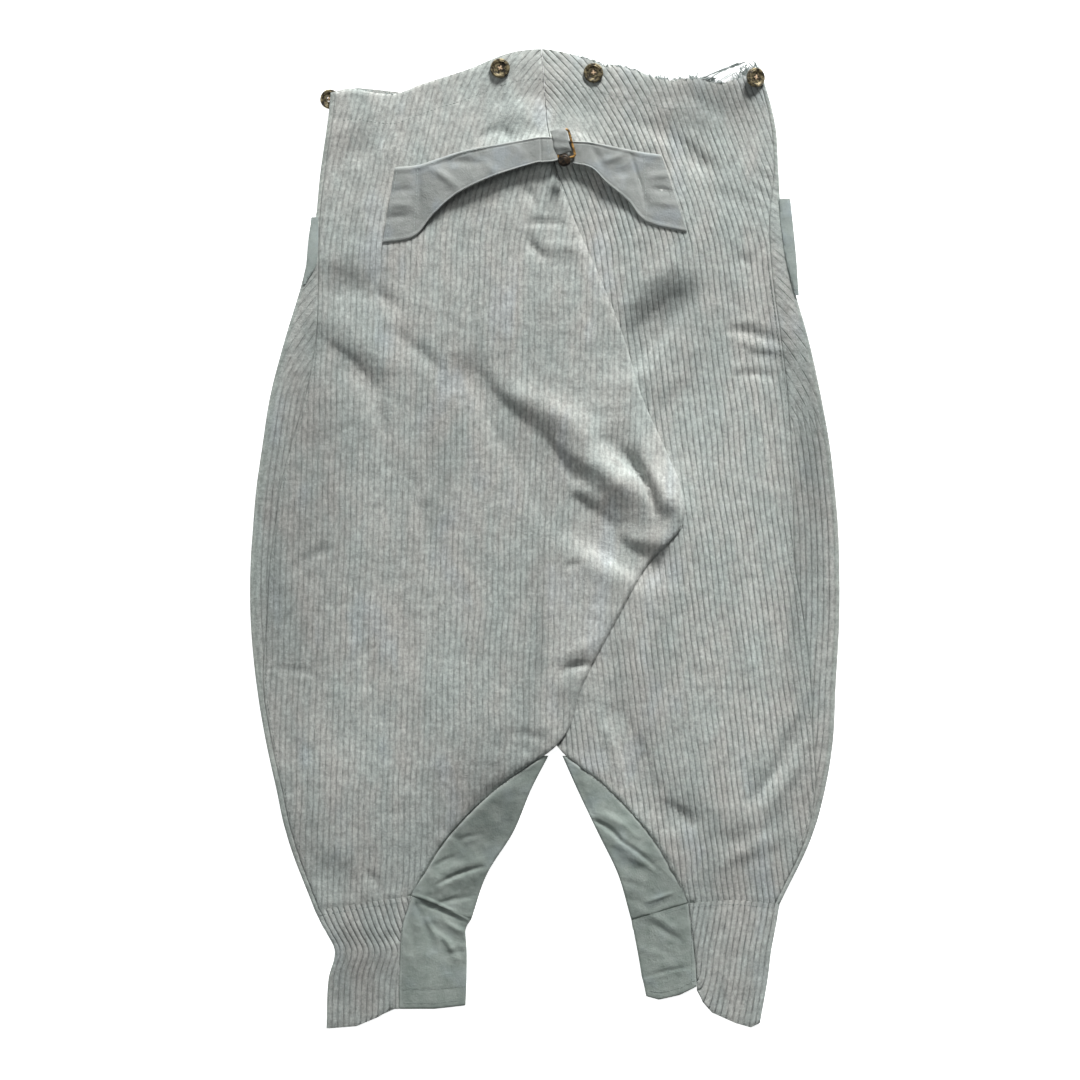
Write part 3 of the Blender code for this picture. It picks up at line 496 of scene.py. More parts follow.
def wale_shift(x, y, side):
    """How far the cord through a place has moved sideways from where it crosses Y = 0."""
    slant = LEFT_SLANT if side < 0 else RIGHT_SLANT
    above = np.maximum(y - LEAN_FOOT, 0.0)
    lean = (LEFT_LEAN if side < 0 else RIGHT_LEAN) * above ** 2 / (above + LEAN_RAMP)
    fan = FAN_SHIFT * smooth_step((y - FAN_FOOT) / FAN_HEIGHT)
    waver = 1.2 * soft_noise(x, y, 55.0, 8 + side) + 0.5 * soft_noise(x, y, 21.0, 12 + side)
    fan = fan * np.maximum(0.0, 1.0 - np.abs(x) / FAN_REACH)
    return slant * y + lean - side * fan + waver


def wale_at(x, y, side):
    """The cord coordinate of a place on a back."""
    return x - wale_shift(x, y, side)


def cord_height(wale, strength):
    """Height of the cords over the wall, rounded with narrow grooves, times their strength."""
    phase = (wale / WALE) % 1.0
    places = [p for p, _ in WALE_PROFILE] + [1.0]
    heights = [h for _, h in WALE_PROFILE] + [0.0]
    return CORD_RISE * (1.0 - strength * (1.0 - np.interp(phase, places, heights)))


def wale_columns(low, high):
    """The columns between two values that draw each wale's profile."""
    first = math.floor(low / WALE)
    last = math.ceil(high / WALE)
    columns = []
    for number in range(first, last + 1):
        columns += [(number + place) * WALE for place, _ in WALE_PROFILE]
    return columns


def steps_between(low, high, step):
    """Multiples of a step that lie between two values."""
    return [number * step for number in range(math.floor(low / step), math.ceil(high / step) + 1)]


# Rows across a leg: rows near an end lean gradually to the edge there

class Rows:
    """Heights down a piece. base is the height, top and low the share given to the end edges."""

    def __init__(self, heights, top_edge=None, low_edge=None, step=ROW_STEP):
        nominal = []
        for upper, lower in zip(heights, heights[1:]):
            count = max(1, round((upper - lower) / step))
            nominal += [upper + (lower - upper) * part / count for part in range(count)]
        self.nominal = np.array(nominal + [heights[-1]], float)
        self.top_edge = top_edge
        self.low_edge = low_edge
        self.top = np.zeros(len(self.nominal))
        self.low = np.zeros(len(self.nominal))
        self.base = self.nominal.copy()
        if top_edge:
            above = self.nominal > heights[1]
            self.top[above] = (self.nominal[above] - heights[1]) / (heights[0] - heights[1])
            self.base[above] = heights[1]
        if low_edge:
            below = self.nominal < heights[-2]
            self.low[below] = (heights[-2] - self.nominal[below]) / (heights[-2] - heights[-1])
            self.base[below] = heights[-2]

    def y(self, row, x):
        """Real heights of places given by their rows and X."""
        height = self.base[row]
        if self.top_edge:
            height = height + self.top[row] * (self.top_edge(x) - self.base[row])
        if self.low_edge:
            height = height + self.low[row] * (self.low_edge(x) - self.base[row])
        return height


# Sheets: a piece of cloth is a closed wall over rows and columns

def clip(polygon, limit, keep_above):
    """The part of a polygon of (column, share) points on one side of a column."""
    kept = []
    for index, (s, t) in enumerate(polygon):
        before_s, before_t = polygon[index - 1]
        inside = s >= limit if keep_above else s <= limit
        was_inside = before_s >= limit if keep_above else before_s <= limit
        if inside != was_inside:
            share = (limit - before_s) / (s - before_s)
            kept.append((limit, before_t + share * (t - before_t)))
        if inside:
            kept.append((s, t))
    return kept


def slice_sheet(left, right, columns):
    """Faces of a sheet as loops of keys (column, row), rows being counted from the top."""
    faces = []
    for row in range(len(left) - 1):
        band = [(left[row], 0.0), (right[row], 0.0), (right[row + 1], 1.0), (left[row + 1], 1.0)]
        low = min(left[row], left[row + 1])
        high = max(right[row], right[row + 1])
        whole_low = max(left[row], left[row + 1])
        whole_high = min(right[row], right[row + 1])
        inside = [s for s in columns if low < s < high]
        cuts = [low - 1.0] + inside + [high + 1.0]
        for start, end in zip(cuts, cuts[1:]):
            if start >= whole_low and end <= whole_high:
                piece = [(start, 0.0), (end, 0.0), (end, 1.0), (start, 1.0)]
            else:
                piece = clip(clip(band, start, True), end, False)
            keys = []
            for s, t in piece:
                key = (round(float(s), 2), round(float(row + t), 3))
                if key not in keys:
                    keys.append(key)
            if len(keys) > 2:
                faces.append(keys)
    return faces


def edge_loop(faces):
    """The keys round the edge of a set of faces, in order."""
    steps = set()
    for keys in faces:
        steps.update(zip(keys, keys[1:] + keys[:1]))
    onward = {a: b for a, b in steps if (b, a) not in steps}
    start = min(onward)
    loop = [start]
    while onward[loop[-1]] != start:
        loop.append(onward[loop[-1]])
    return loop


def keep_off_columns(values, columns, inward):
    """Moves an edge inward on to a column that lies so near that it would leave a sliver."""
    columns = np.asarray(columns)
    moved = []
    for value in values:
        gaps = (columns - value) * inward
        near = columns[(gaps >= 0.0) & (gaps < 0.2)]
        moved.append(round(float(near[0] if len(near) else value), 2))
    return moved


def cloth_sheet(name, left, right, columns, inner_columns, outer, inner, pattern, material):
    """A closed wall of cloth between an outer and an inner face over the same rows.

    outer and inner turn arrays of columns, rows and distances from both side edges into
    places. pattern gives a place's UV and its wear from its column and place.
    """
    left = keep_off_columns(left, columns, 1)
    right = keep_off_columns(right, columns, -1)
    rows = np.arange(len(left))

    def places(faces, point):
        keys = sorted({key for keys in faces for key in keys})
        s = np.array([key[0] for key in keys])
        h = np.array([key[1] for key in keys])
        row = np.minimum(h.astype(int), len(left) - 2)
        share = (h - row)[:, None]
        from_left = s - np.interp(h, rows, left)
        from_right = np.interp(h, rows, right) - s
        upper = point(s, row, from_left, from_right)
        lower = point(s, row + 1, from_left, from_right)
        placed = upper * (1.0 - share) + lower * share
        return keys, s, placed, from_left, from_right

    outer_faces = slice_sheet(left, right, columns)
    inner_faces = slice_sheet(left, right, inner_columns)
    outer_keys, outer_s, outer_places, *outer_sides = places(outer_faces, outer)
    inner_keys, inner_s, inner_places, *inner_sides = places(inner_faces, inner)
    outer_number = {key: index for index, key in enumerate(outer_keys)}
    first_inner = len(outer_keys)
    inner_number = {key: first_inner + index for index, key in enumerate(inner_keys)}
    faces = [[outer_number[key] for key in keys] for keys in outer_faces]
    faces += [[inner_number[key] for key in reversed(keys)] for keys in inner_faces]
    loop = edge_loop(outer_faces)
    start = next(index for index, key in enumerate(loop) if key in inner_number)
    loop = loop[start:] + loop[:start + 1]
    run = [loop[0]]
    for key in loop[1:]:
        run.append(key)
        if key in inner_number:
            ends = inner_number[run[0]], inner_number[run[-1]]
            middle = len(run) // 2
            faces.append([ends[0], ends[1], outer_number[run[middle]]])
            for step, (a, b) in enumerate(zip(run, run[1:])):
                faces.append([ends[0 if step < middle else 1], outer_number[b], outer_number[a]])
            run = [key]
    points = np.concatenate([outer_places, inner_places]) * MM
    u, v, wear = pattern(np.concatenate([outer_s, inner_s]), points / MM,
                         np.concatenate([outer_sides[0], inner_sides[0]]),
                         np.concatenate([outer_sides[1], inner_sides[1]]))
    if signed_volume(points, faces) < 0.0:
        faces = [face[::-1] for face in faces]
    return mesh_piece(name, points, faces, material, np.stack([u, v], axis=1), wear)


def signed_volume(points, faces):
    """The volume that faces close round, below zero where they point inwards."""
    corners = [(face[0], b, c) for face in faces for b, c in zip(face[1:], face[2:])]
    a, b, c = points[np.array(corners).T]
    return float(np.sum(a * np.cross(b, c))) / 6.0


def patches_at(table, x, y):
    """What a table of soft patches adds up to at a place."""
    change = 0.0 * x
    for patch in table:
        away = ((x - patch.x) / patch.reach_x) ** 2 + ((y - patch.y) / patch.reach_y) ** 2
        change = change + patch.change * np.exp(-away)
    return change


def mesh_piece(name, points, faces, material, uv=None, wear=None):
    """A new object from points in metres and faces, with its cloth pattern, wear, and soiling with
    painted shade and light.
    """
    mesh = bpy.data.meshes.new(name)
    mesh.from_pydata([tuple(p) for p in points], [], faces)
    mesh.materials.append(material)
    if uv is not None:
        layer = mesh.uv_layers.new(name="cloth")
        corners = np.empty(len(mesh.loops), np.int32)
        mesh.loops.foreach_get("vertex_index", corners)
        layer.data.foreach_set("uv", uv[corners].astype(np.float32).ravel())
    if wear is not None:
        attribute = mesh.attributes.new("wear", "FLOAT", "POINT")
        attribute.data.foreach_set("value", np.asarray(wear, np.float32))
        places = np.asarray(points) / MM
        # Soiling with painted shade and light, and the places rubbed flat, as attributes for the
        # materials
        for word, table in (("soil_and_shading", SOIL_AND_PAINTED_SHADING), ("smooth", SMOOTH)):
            values = np.clip(patches_at(table, places[:, 0], places[:, 1]), -0.5, 0.95)
            layer = mesh.attributes.new(word, "FLOAT", "POINT")
            layer.data.foreach_set("value", values.astype(np.float32))
    obj = bpy.data.objects.new(name, mesh)
    bpy.context.scene.collection.objects.link(obj)
    mesh.shade_smooth()
    mesh.set_sharp_from_angle(angle=math.radians(72))
    mesh.update()
    return obj


# Cut pieces

def round_off(distance, width, drop):
    """How far a face sinks near an edge that rolls under."""
    share = 1.0 - np.clip(distance / width, 0.0, 1.0)
    return drop * (1.0 - np.sqrt(np.maximum(1.0 - share ** 2, 0.0)))


def frayed_waist(x):
    """The back's waist edge: neat on the left, raw and uneven on the right."""
    raw = smooth_step((x - 20.0) / 30.0)
    jag = 0.8 * soft_noise(x, 0 * x, 2.2, 21) + 1.1 * soft_noise(x, 0 * x, 6.5, 22)
    return soft_edge_y(BACK_WAIST, x) + raw * jag


def thigh_rows(waist):
    """The rows of a thigh piece below a waist edge."""
    return Rows([row.y for row in THIGH], waist, lambda x: edge_y(KNEE_SEAM, x) + SEAM_GAP / 2)


def make_back(name, side, material):
    """A back: corduroy from the centre back seam to the side seam, cords up."""
    word = "left" if side < 0 else "right"
    rows = thigh_rows(frayed_waist)
    half_gap = SEAM_GAP / 2
    numbers = np.arange(len(rows.nominal))

    def edge(column, shift):
        x = section(THIGH, column, rows.nominal) + shift
        return wale_at(x, rows.y(numbers, x), side)

    height = left_back_underside if side < 0 else underside
    outward = edge(word + "_seam", -side * half_gap)
    inward = edge(word + "_inner", side * half_gap)
    left, right = (outward, inward) if side < 0 else (inward, outward)
    columns = wale_columns(min(left), max(right))
    inner_columns = columns[::len(WALE_PROFILE) * INSIDE_WALES]

    def place(wale, row):
        x = wale
        for _ in range(24):
            x = wale + wale_shift(x, rows.y(row, x), side)
        return x, rows.y(row, x)

    def strength(x, y):
        worn = 0.80 + 0.20 * soft_noise(x, y, 38.0, 31 + side)
        worn = worn * (0.85 if side > 0 else 0.46)
        worn = worn * (1.0 - np.clip(patches_at(SMOOTH, x, y), 0.0, 0.95))
        return np.clip(worn, 0.0, 1.0)

    def outer(wale, row, from_left, from_right):
        x, y = place(wale, row)
        z = height(x, y) + CORD_WALL + cord_height(wale, strength(x, y))
        seam_side = from_left if side < 0 else from_right
        free_side = from_right if side < 0 else from_left
        z = z - round_off(seam_side, *SEAM_ROLL)
        if side < 0:
            over = smooth_step((THIGH[1].y - y) / 40.0) * smooth_step((y - FORK_Y) / 20.0)
            z = z - round_off(free_side, 6.0, 1.0 + 1.6 * over)
        low = smooth_step((FORK_Y - y) / 12.0)
        z = z - low * round_off(free_side, 8.0, 1.1)
        z = z + low * 0.6 * soft_noise(x, y, 4.0, 41) * np.exp(-(free_side / 7.0) ** 2)
        z = z - round_off(y - edge_y(KNEE_SEAM, x), *SEAM_ROLL)
        z = z - round_off(frayed_waist(x) - y, *SEAM_ROLL)
        return np.stack([x, y, z], axis=1)

    def inner(wale, row, from_left, from_right):
        x, y = place(wale, row)
        return np.stack([x, y, height(x, y)], axis=1)

    def pattern(wale, places, from_left, from_right):
        seam_side = from_left if side < 0 else from_right
        free_side = from_right if side < 0 else from_left
        low = smooth_step((FORK_Y - places[:, 1]) / 12.0)
        wear = 0.5 * np.exp(-(seam_side / 3.0) ** 2)
        wear = np.maximum(wear, 0.8 * low * np.exp(-(free_side / 7.0) ** 2))
        return wale / WALE, places[:, 1] / WALE, wear

    return cloth_sheet(name, list(left), list(right), columns, inner_columns, outer, inner,
                       pattern, material)


def make_wrapped(name, inward, rows, low_rows, fold_x, top_x, bottom_x, wall, floor_wall, cords,
                 material, bare_band=None, strip_lean=None):
    """A piece that lies on the surface, turns up at a folded edge and comes back on top.

    A column is the distance along the cloth from the middle of the turn, negative on the
    surface and positive on top. bare_band gives, for a height, how far from the turn the cords
    are worn off.
    """
    half_gap = SEAM_GAP / 2
    slack = TURN - TURN_DEPTH
    top = (top_x - fold_x) * inward - half_gap + slack
    bottom = (bottom_x - fold_x) * inward - half_gap + slack
    turn_columns = [TURN * part / 4 for part in range(-4, 5)]
    if cords:
        strip = [s for s in wale_columns(TURN, max(top)) if s > TURN + 0.4]
        inner_strip = steps_between(2 * WALE, max(top), 2 * WALE)
        strip = sorted(set(strip) | set(inner_strip))
    else:
        strip = [s for s in steps_between(TURN, max(top), PLAIN_STEP) if s > TURN + 0.4]
        inner_strip = strip[::2]
    flat = [s for s in steps_between(-max(bottom), -TURN, FLAT_STEP) if s < -TURN - 1.0]
    columns = flat + turn_columns + strip
    inner_columns = flat + [-TURN, 0.0, TURN] + inner_strip

    def place(column, row, depth):
        x = fold_x[row] + inward * depth
        y = np.where(column > 0, rows.y(row, x), low_rows.y(row, x))
        return x, y

    def outer(column, row, from_left, from_right):
        turning = np.clip(column / TURN, -1.0, 1.0) * math.pi / 2
        depth = np.where(np.abs(column) <= TURN, TURN_DEPTH * (1.0 - np.cos(turning)),
                         np.abs(column) - slack)
        x, y = place(column, row, depth)
        bare = smooth_step((column - 1.5) / bare_band(y)) if bare_band else 1.0
        worn = (0.85 + 0.15 * soft_noise(x, y, 30.0, 41)) * bare
        crest = underside(x, y) + wall
        if strip_lean:
            worn = worn * (1.0 - smooth_step((y - strip_lean[0]) / 60.0))
        if cords:
            crest = crest + cord_height(column, worn) * (0.5 + 0.5 * smooth_step(column / 8.0))
        crest = crest - round_off(from_right, 2.5, 0.7)
        crest = crest - round_off(np.abs(rows.y(row * 0 + len(rows.base) - 1, x) - y), 2.5, 0.6)
        share = (1.0 + np.sin(turning)) / 2.0
        z = (1.0 - share) * ground(x, y) + share * crest
        return np.stack([x, y, z], axis=1)

    def inner(column, row, from_left, from_right):
        depth = np.where(np.abs(column) < 0.01, TURN_DEPTH - 0.2,
                         np.maximum(np.abs(column) - slack, TURN_INSIDE))
        x, y = place(column, row, depth)
        low = ground(x, y) + floor_wall
        high = underside(x, y)
        z = np.where(column > 0.01, high, np.where(column < -0.01, low, (low + high) / 2))
        return np.stack([x, y, z], axis=1)

    def pattern(column, places, from_left, from_right):
        y = places[:, 1]
        wear = 1.0 - smooth_step((column - 1.5) / bare_band(y)) if bare_band else 0.0 * column
        wear = np.where(column < 0, 0.3, wear)
        wear = np.maximum(wear, 0.5 * np.exp(-(from_right / 3.0) ** 2))
        size = WALE if cords else 1.0
        if strip_lean:
            column = column - strip_lean[1] * np.maximum(y - strip_lean[0], 0.0) ** 2
            column = column / (1.0 + 0.6 * smooth_step((y - strip_lean[0]) / 80.0))
        return column / size, places[:, 1] / size, wear

    return cloth_sheet(name, [-value for value in bottom], list(top), columns, inner_columns,
                       outer, inner, pattern, material)


def make_front(name, side, material):
    """A front: it lies on the surface and folds over the outer edge to the side seam."""
    word = "left" if side < 0 else "right"
    rows = thigh_rows(frayed_waist)
    low_rows = thigh_rows(lambda x: soft_edge_y(FRONT_WAIST, x))
    nominal = rows.nominal
    centre = np.interp(nominal, [FORK_Y, CENTRE_FRONT_Y], [FORK_X, 0])
    leg = section(THIGH, word + "_inner", nominal)
    bottom = np.where(nominal >= FORK_Y, centre, leg)
    return make_wrapped(name, -side, rows, low_rows, section(THIGH, word + "_edge", nominal),
                        section(THIGH, word + "_seam", nominal), bottom, CORD_WALL, FLAT_WALL,
                        True, material,
                        bare_band=lambda y: np.interp(y, *BARE_BANDS[word]),
                        strip_lean=STRIP_LEANS[word])


def make_lower(name, word, turn_column, inward, start, foot, wall, floor_wall, cords, material):
    """A lower leg piece between a starting edge and a hem, folded round the leg."""
    rows = Rows([row.y for row in SHIN], lambda x: edge_y(start, x) - SEAM_GAP / 2,
                lambda x: edge_y(foot, x), ROW_STEP if cords else PLAIN_ROW_STEP)
    fold_x = section(SHIN, word + turn_column, rows.nominal)
    seam_x = section(SHIN, word + "_seam", rows.nominal)
    return make_wrapped(name, inward, rows, rows, fold_x, seam_x, seam_x, wall, floor_wall,
                        cords, material, bare_band=(lambda y: 2.0 + 0.0 * y) if cords else None)


def make_gusset(name, side, material):
    """The twill inside the knee, folded round the inner edge of the leg."""
    word = "left" if side < 0 else "right"
    rows = Rows([row.y for row in GUSSET], None, lambda x: edge_y(GUSSET_FOOT, x) + SEAM_GAP / 2,
                PLAIN_ROW_STEP)
    fold_x = section(GUSSET, word + "_inner", rows.nominal)
    seam_x = gusset_seam(word, rows.nominal)
    return make_wrapped(name, side, rows, rows, fold_x, seam_x, seam_x, TWILL, TWILL, False,
                        material)


def make_flat_strip(name, table, height, material):
    """A plain strip of twill between two edges, laid on what is below it."""
    rows = Rows([row.y for row in table], step=4.0)
    outer_x = section(table, "outer", rows.nominal)
    inner_x = section(table, "inner", rows.nominal)
    left = np.minimum(outer_x, inner_x)
    right = np.maximum(outer_x, inner_x)
    columns = steps_between(min(left), max(right), 3.0)

    def face(rise):
        def point(x, row, from_left, from_right):
            y = rows.nominal[row]
            edge = np.minimum(from_left, from_right)
            return np.stack([x, y, height(x, y) + rise - round_off(edge, 1.0, rise * 0.4)], axis=1)
        return point

    def pattern(x, places, from_left, from_right):
        return x, places[:, 1], 0.0 * x

    return cloth_sheet(name, list(left), list(right), columns, columns, face(TWILL), face(0.0),
                       pattern, material)


def strap_base(x, y):
    """The cords' height under a strap, held level near the stiff buckle."""
    distance = np.hypot(x - BUCKLE_CENTRE[0], y - BUCKLE_CENTRE[1])
    level = smooth_step((70.0 - distance) / 40.0)
    here = np.array([BUCKLE_CENTRE[0]]), np.array([BUCKLE_CENTRE[1]])
    middle = (cords_top(*here) - bunched(*here))[0]
    return (1.0 - level) * (cords_top(x, y) - bunched(x, y)) + level * middle


def strap_line(stations, column, at):
    """A column of a strap's stations at any station number."""
    return smooth_curve(range(len(stations)), [getattr(row, column) for row in stations], at)


def strap_place(stations, share, at):
    """A place on a strap, a share of the way from its low edge to its top one."""
    return [(1 - share) * strap_line(stations, axis + "_low", at)
            + share * strap_line(stations, axis + "_top", at) for axis in "xy"]


def make_strap(name, stations, creases, material):
    """A cinch strap from its sewn end to the buckle, with its own soft creases."""
    parts = 10
    last = len(stations) - 1
    steps = np.linspace(0.0, last, last * parts + 1)
    across_count = 40

    def middle(across, row):
        at = steps[row]
        x, y = strap_place(stations, across / across_count, at)
        z = strap_base(x, y) + strap_line(stations, "rise", at)
        for crease in creases:
            z = z + crease_height(x, y, crease)
        return x, y, z

    def outer(across, row, from_left, from_right):
        x, y, z = middle(across, row)
        edge = np.minimum(from_left, from_right)
        end = np.minimum(row, len(steps) - 1 - row)
        swell = 0.40 * np.exp(-((edge - 1.2) / 0.9) ** 2)
        swell = swell - 0.30 * np.exp(-((from_right - 4.0) / 0.7) ** 2)
        swell = swell - 0.22 * np.exp(-((from_left - 3.2) / 0.6) ** 2)
        z = z + TWILL - round_off(edge, 1.5, 0.6) - round_off(end, 2.0, 0.4) + swell
        return np.stack([x, y, z], axis=1)

    def inner(across, row, from_left, from_right):
        return np.stack(middle(across, row), axis=1)

    def pattern(across, places, from_left, from_right):
        edge = np.minimum(from_left, from_right)
        return places[:, 0], places[:, 1], 0.5 * np.exp(-(edge / 1.0) ** 2)

    columns = [float(number) for number in range(1, across_count)]
    left = [0.0] * len(steps)
    right = [float(across_count)] * len(steps)
    return cloth_sheet(name, left, right, columns, columns, outer, inner, pattern, material)


# Materials

# Settings of nodes that come up often
COLOUR = {"data_type": "RGBA"}
TINT = {"data_type": "RGBA", "blend_type": "MULTIPLY"}
SOFT_RANGE = {"interpolation_type": "SMOOTHSTEP"}
TIMES = {"operation": "MULTIPLY"}
TIMES_PLUS = {"operation": "MULTIPLY_ADD"}


def linear(hex_colour, alpha=1.0):
    """An sRGB hex value as the linear colour that a shader takes."""
    parts = [int(hex_colour[index:index + 2], 16) / 255.0 for index in (0, 2, 4)]
    values = [c / 12.92 if c <= 0.04045 else ((c + 0.055) / 1.055) ** 2.4 for c in parts]
    return (*values, alpha)


def opaque(colour):
    """A property's colour, which Blender keeps linear, as it is for a shader."""
    return (*colour[:3], 1.0)


def add_node(material, kind, settings, inputs, output=0):
    """Adds a node and gives one of its outputs.

    inputs are values, or other nodes' outputs to link, in order or by their sockets.
    """
    tree = material.node_tree
    node = tree.nodes.new("ShaderNode" + kind)
    for name, value in settings.items():
        setattr(node, name, value)
    for socket, value in inputs.items() if isinstance(inputs, dict) else enumerate(inputs):
        if isinstance(value, bpy.types.NodeSocket):
            tree.links.new(value, node.inputs[socket])
        else:
            node.inputs[socket].default_value = value
    return node.outputs[output]


def new_material(name, **values):
    """A Principled material and its shader, with the values that are even all over."""
    material = bpy.data.materials.new(name)
    material.use_nodes = True
    shader = material.node_tree.nodes["Principled BSDF"]
    for socket, value in values.items():
        shader.inputs[socket.replace("_", " ")].default_value = value
    return material, shader


def patchy(material, vector, size, detail, roughness, span=(), stretch=None):
    """Soft lumps of a real size in metres, or in the units of a vector, within a span."""
    if stretch:
        vector = add_node(material, "Mapping", {}, {"Vector": vector, "Scale": stretch})
    lumps = add_node(material, "TexNoise", {}, {"Vector": vector, "Scale": 1.0 / size,
                                                "Detail": detail, "Roughness": roughness})
    return add_node(material, "MapRange", SOFT_RANGE, [lumps, *span]) if span else lumps


def cloth_places(material):
    """Object coordinates in metres, the cloth's own UV, its wear, and the gain from its soiling and
    painted shade and light.
    """
    wear, soil_and_shading = (add_node(material, "Attribute", {"attribute_name": word}, [], "Fac")
                  for word in ("wear", "soil_and_shading"))
    return (add_node(material, "TexCoord", {}, [], "Object"),
            add_node(material, "UVMap", {"uv_map": "cloth"}, []), wear,
            add_node(material, "Math", {"operation": "ADD"}, [soil_and_shading, 1.0]))


def finish_surface(material, shader, colour, layers, height=None, strength=0.0, depth=0.0):
    """Lays colours over a first one, each with its share, and adds the fine relief."""
    for settings, share, over in layers:
        if settings is TINT:
            over = add_node(material, "CombineColor", {}, [over] * 3)
        colour = add_node(material, "Mix", settings, {0: share, 6: colour, 7: over}, 2)
    material.node_tree.links.new(colour, shader.inputs["Base Color"])
    if height:
        bump = add_node(material, "Bump", {}, {"Strength": strength, "Distance": depth,
                                               "Height": height})
        material.node_tree.links.new(bump, shader.inputs["Normal"])
    return material


def corduroy_material(name, settings, tint=0.0):
    """Cut-pile cotton corduroy, much washed: matt, furry cords with thin dark grooves.

    Its pile has lost colour on the crests. The grooves are painted darker: partly the dye kept
    there, partly painted shade in the hollows. The cloth is blotched with beige and blue-grey where
    it was rubbed and stained.
    """
    material, shader = new_material(name, Roughness=0.92, Sheen_Weight=0.25, Sheen_Roughness=0.6,
                                    Specular_IOR_Level=0.2)
    places, uv, wear, soil_and_shading_gain = cloth_places(material)
    wale = add_node(material, "SeparateXYZ", {}, [uv])
    phase = add_node(material, "Math", {"operation": "FRACT"}, [wale])
    off_crest = add_node(material, "Math", {"operation": "SUBTRACT"}, [phase, 0.5])
    off_crest = add_node(material, "Math", {"operation": "ABSOLUTE"}, [off_crest])
    groove_dye_and_shade = add_node(material, "MapRange", SOFT_RANGE,
                      [off_crest, 0.41 if tint < 0 else 0.38, 0.50])
    crest = add_node(material, "MapRange", SOFT_RANGE, [off_crest, 0.40, 0.10])

    # Grooves are broken up where pile has closed over them, worn or rubbed flat
    number = add_node(material, "Math", {"operation": "ROUND"}, [wale])
    dashes = add_node(material, "CombineXYZ", {}, [number, wale.node.outputs[1]])
    smooth = add_node(material, "Attribute", {"attribute_name": "smooth"}, [], "Fac")
    for part in (patchy(material, dashes, 0.55, 2.0, 0.6, (0.36, 0.62, 0.08, 1.0), (3.1, 0.3, 1.0)),
                 patchy(material, places, 0.060, 3.0, 0.6, (0.46, 0.70, 1.0, 0.42)),
                 add_node(material, "MapRange", SOFT_RANGE, [wear, 0.15, 0.85, 1.0, 0.0]),
                 add_node(material, "Math", {"operation": "SUBTRACT"}, [1.0, smooth])):
        groove_dye_and_shade = add_node(material, "Math", TIMES, [groove_dye_and_shade, part])

    # Shades of the pile, from mottling down to single tufts and streaks along the cords, and last
    # the soiling with its painted shade and light
    shade = add_node(material, "Math", TIMES_PLUS, [crest, 0.14, 0.93])
    for part in (patchy(material, places, 0.009, 4.0, 0.7, (0.3, 0.7, 0.82, 1.12)),
                 patchy(material, places, 0.0024, 3.0, 0.75, (0.28, 0.72, 0.82, 1.16)),
                 patchy(material, uv, 0.42, 3.0, 0.7, (0.28, 0.72, 0.84, 1.14), (1.0, 0.3, 1.0)),
                 soil_and_shading_gain):
        shade = add_node(material, "Math", TIMES, [shade, part])

    blotch = patchy(material, places, 0.030, 4.0, 0.6, (0.30, 0.72), (1.0, 0.38, 1.0))
    blue = patchy(material, places, 0.034, 2.0, 0.5, (0.56, 0.74, 0.0, 0.45), (1.0, 0.45, 1.0))
    edge = add_node(material, "MapRange", SOFT_RANGE, [wear, 0.2, 0.9, 0.0, 0.5])
    fleck = patchy(material, places, 0.0030, 3.0, 0.8, (0.64, 0.76, 0.0, 0.35))
    # Painted into the grooves: the dye kept there and painted shade, more of it on the right side
    depth = add_node(material, "Math", TIMES, [groove_dye_and_shade, 0.50 + tint])
    layers = [(COLOUR, blotch, opaque(settings.cloth_beige)),
              (COLOUR, blue, opaque(settings.cloth_blue)),
              (COLOUR, edge, opaque(settings.worn_edge)), (TINT, 1.0, shade),
              (COLOUR, fleck, linear("c8cfca")), (COLOUR, depth, opaque(settings.groove_dye_and_shade))]

    # Pile is furrowed across by the ground weave, one weft pair to a millimetre
    weft = add_node(material, "TexWave", {"wave_type": "BANDS", "bands_direction": "Y"},
                    {"Vector": uv, "Scale": 1.55, "Distortion": 2.2, "Detail": 1.0,
                     "Detail Scale": 2.0}, "Fac")
    height = patchy(material, places, 0.0011, 2.0, 0.7)
    lumps = patchy(material, places, 0.0045, 4.0, 0.65)
    for part, gain in ((weft, 0.25), (groove_dye_and_shade, -1.3), (lumps, 1.3)):
        height = add_node(material, "Math", TIMES_PLUS, [part, gain, height])
    return finish_surface(material, shader, opaque(settings.cloth_green), layers, height,
                          0.65, 0.0006)


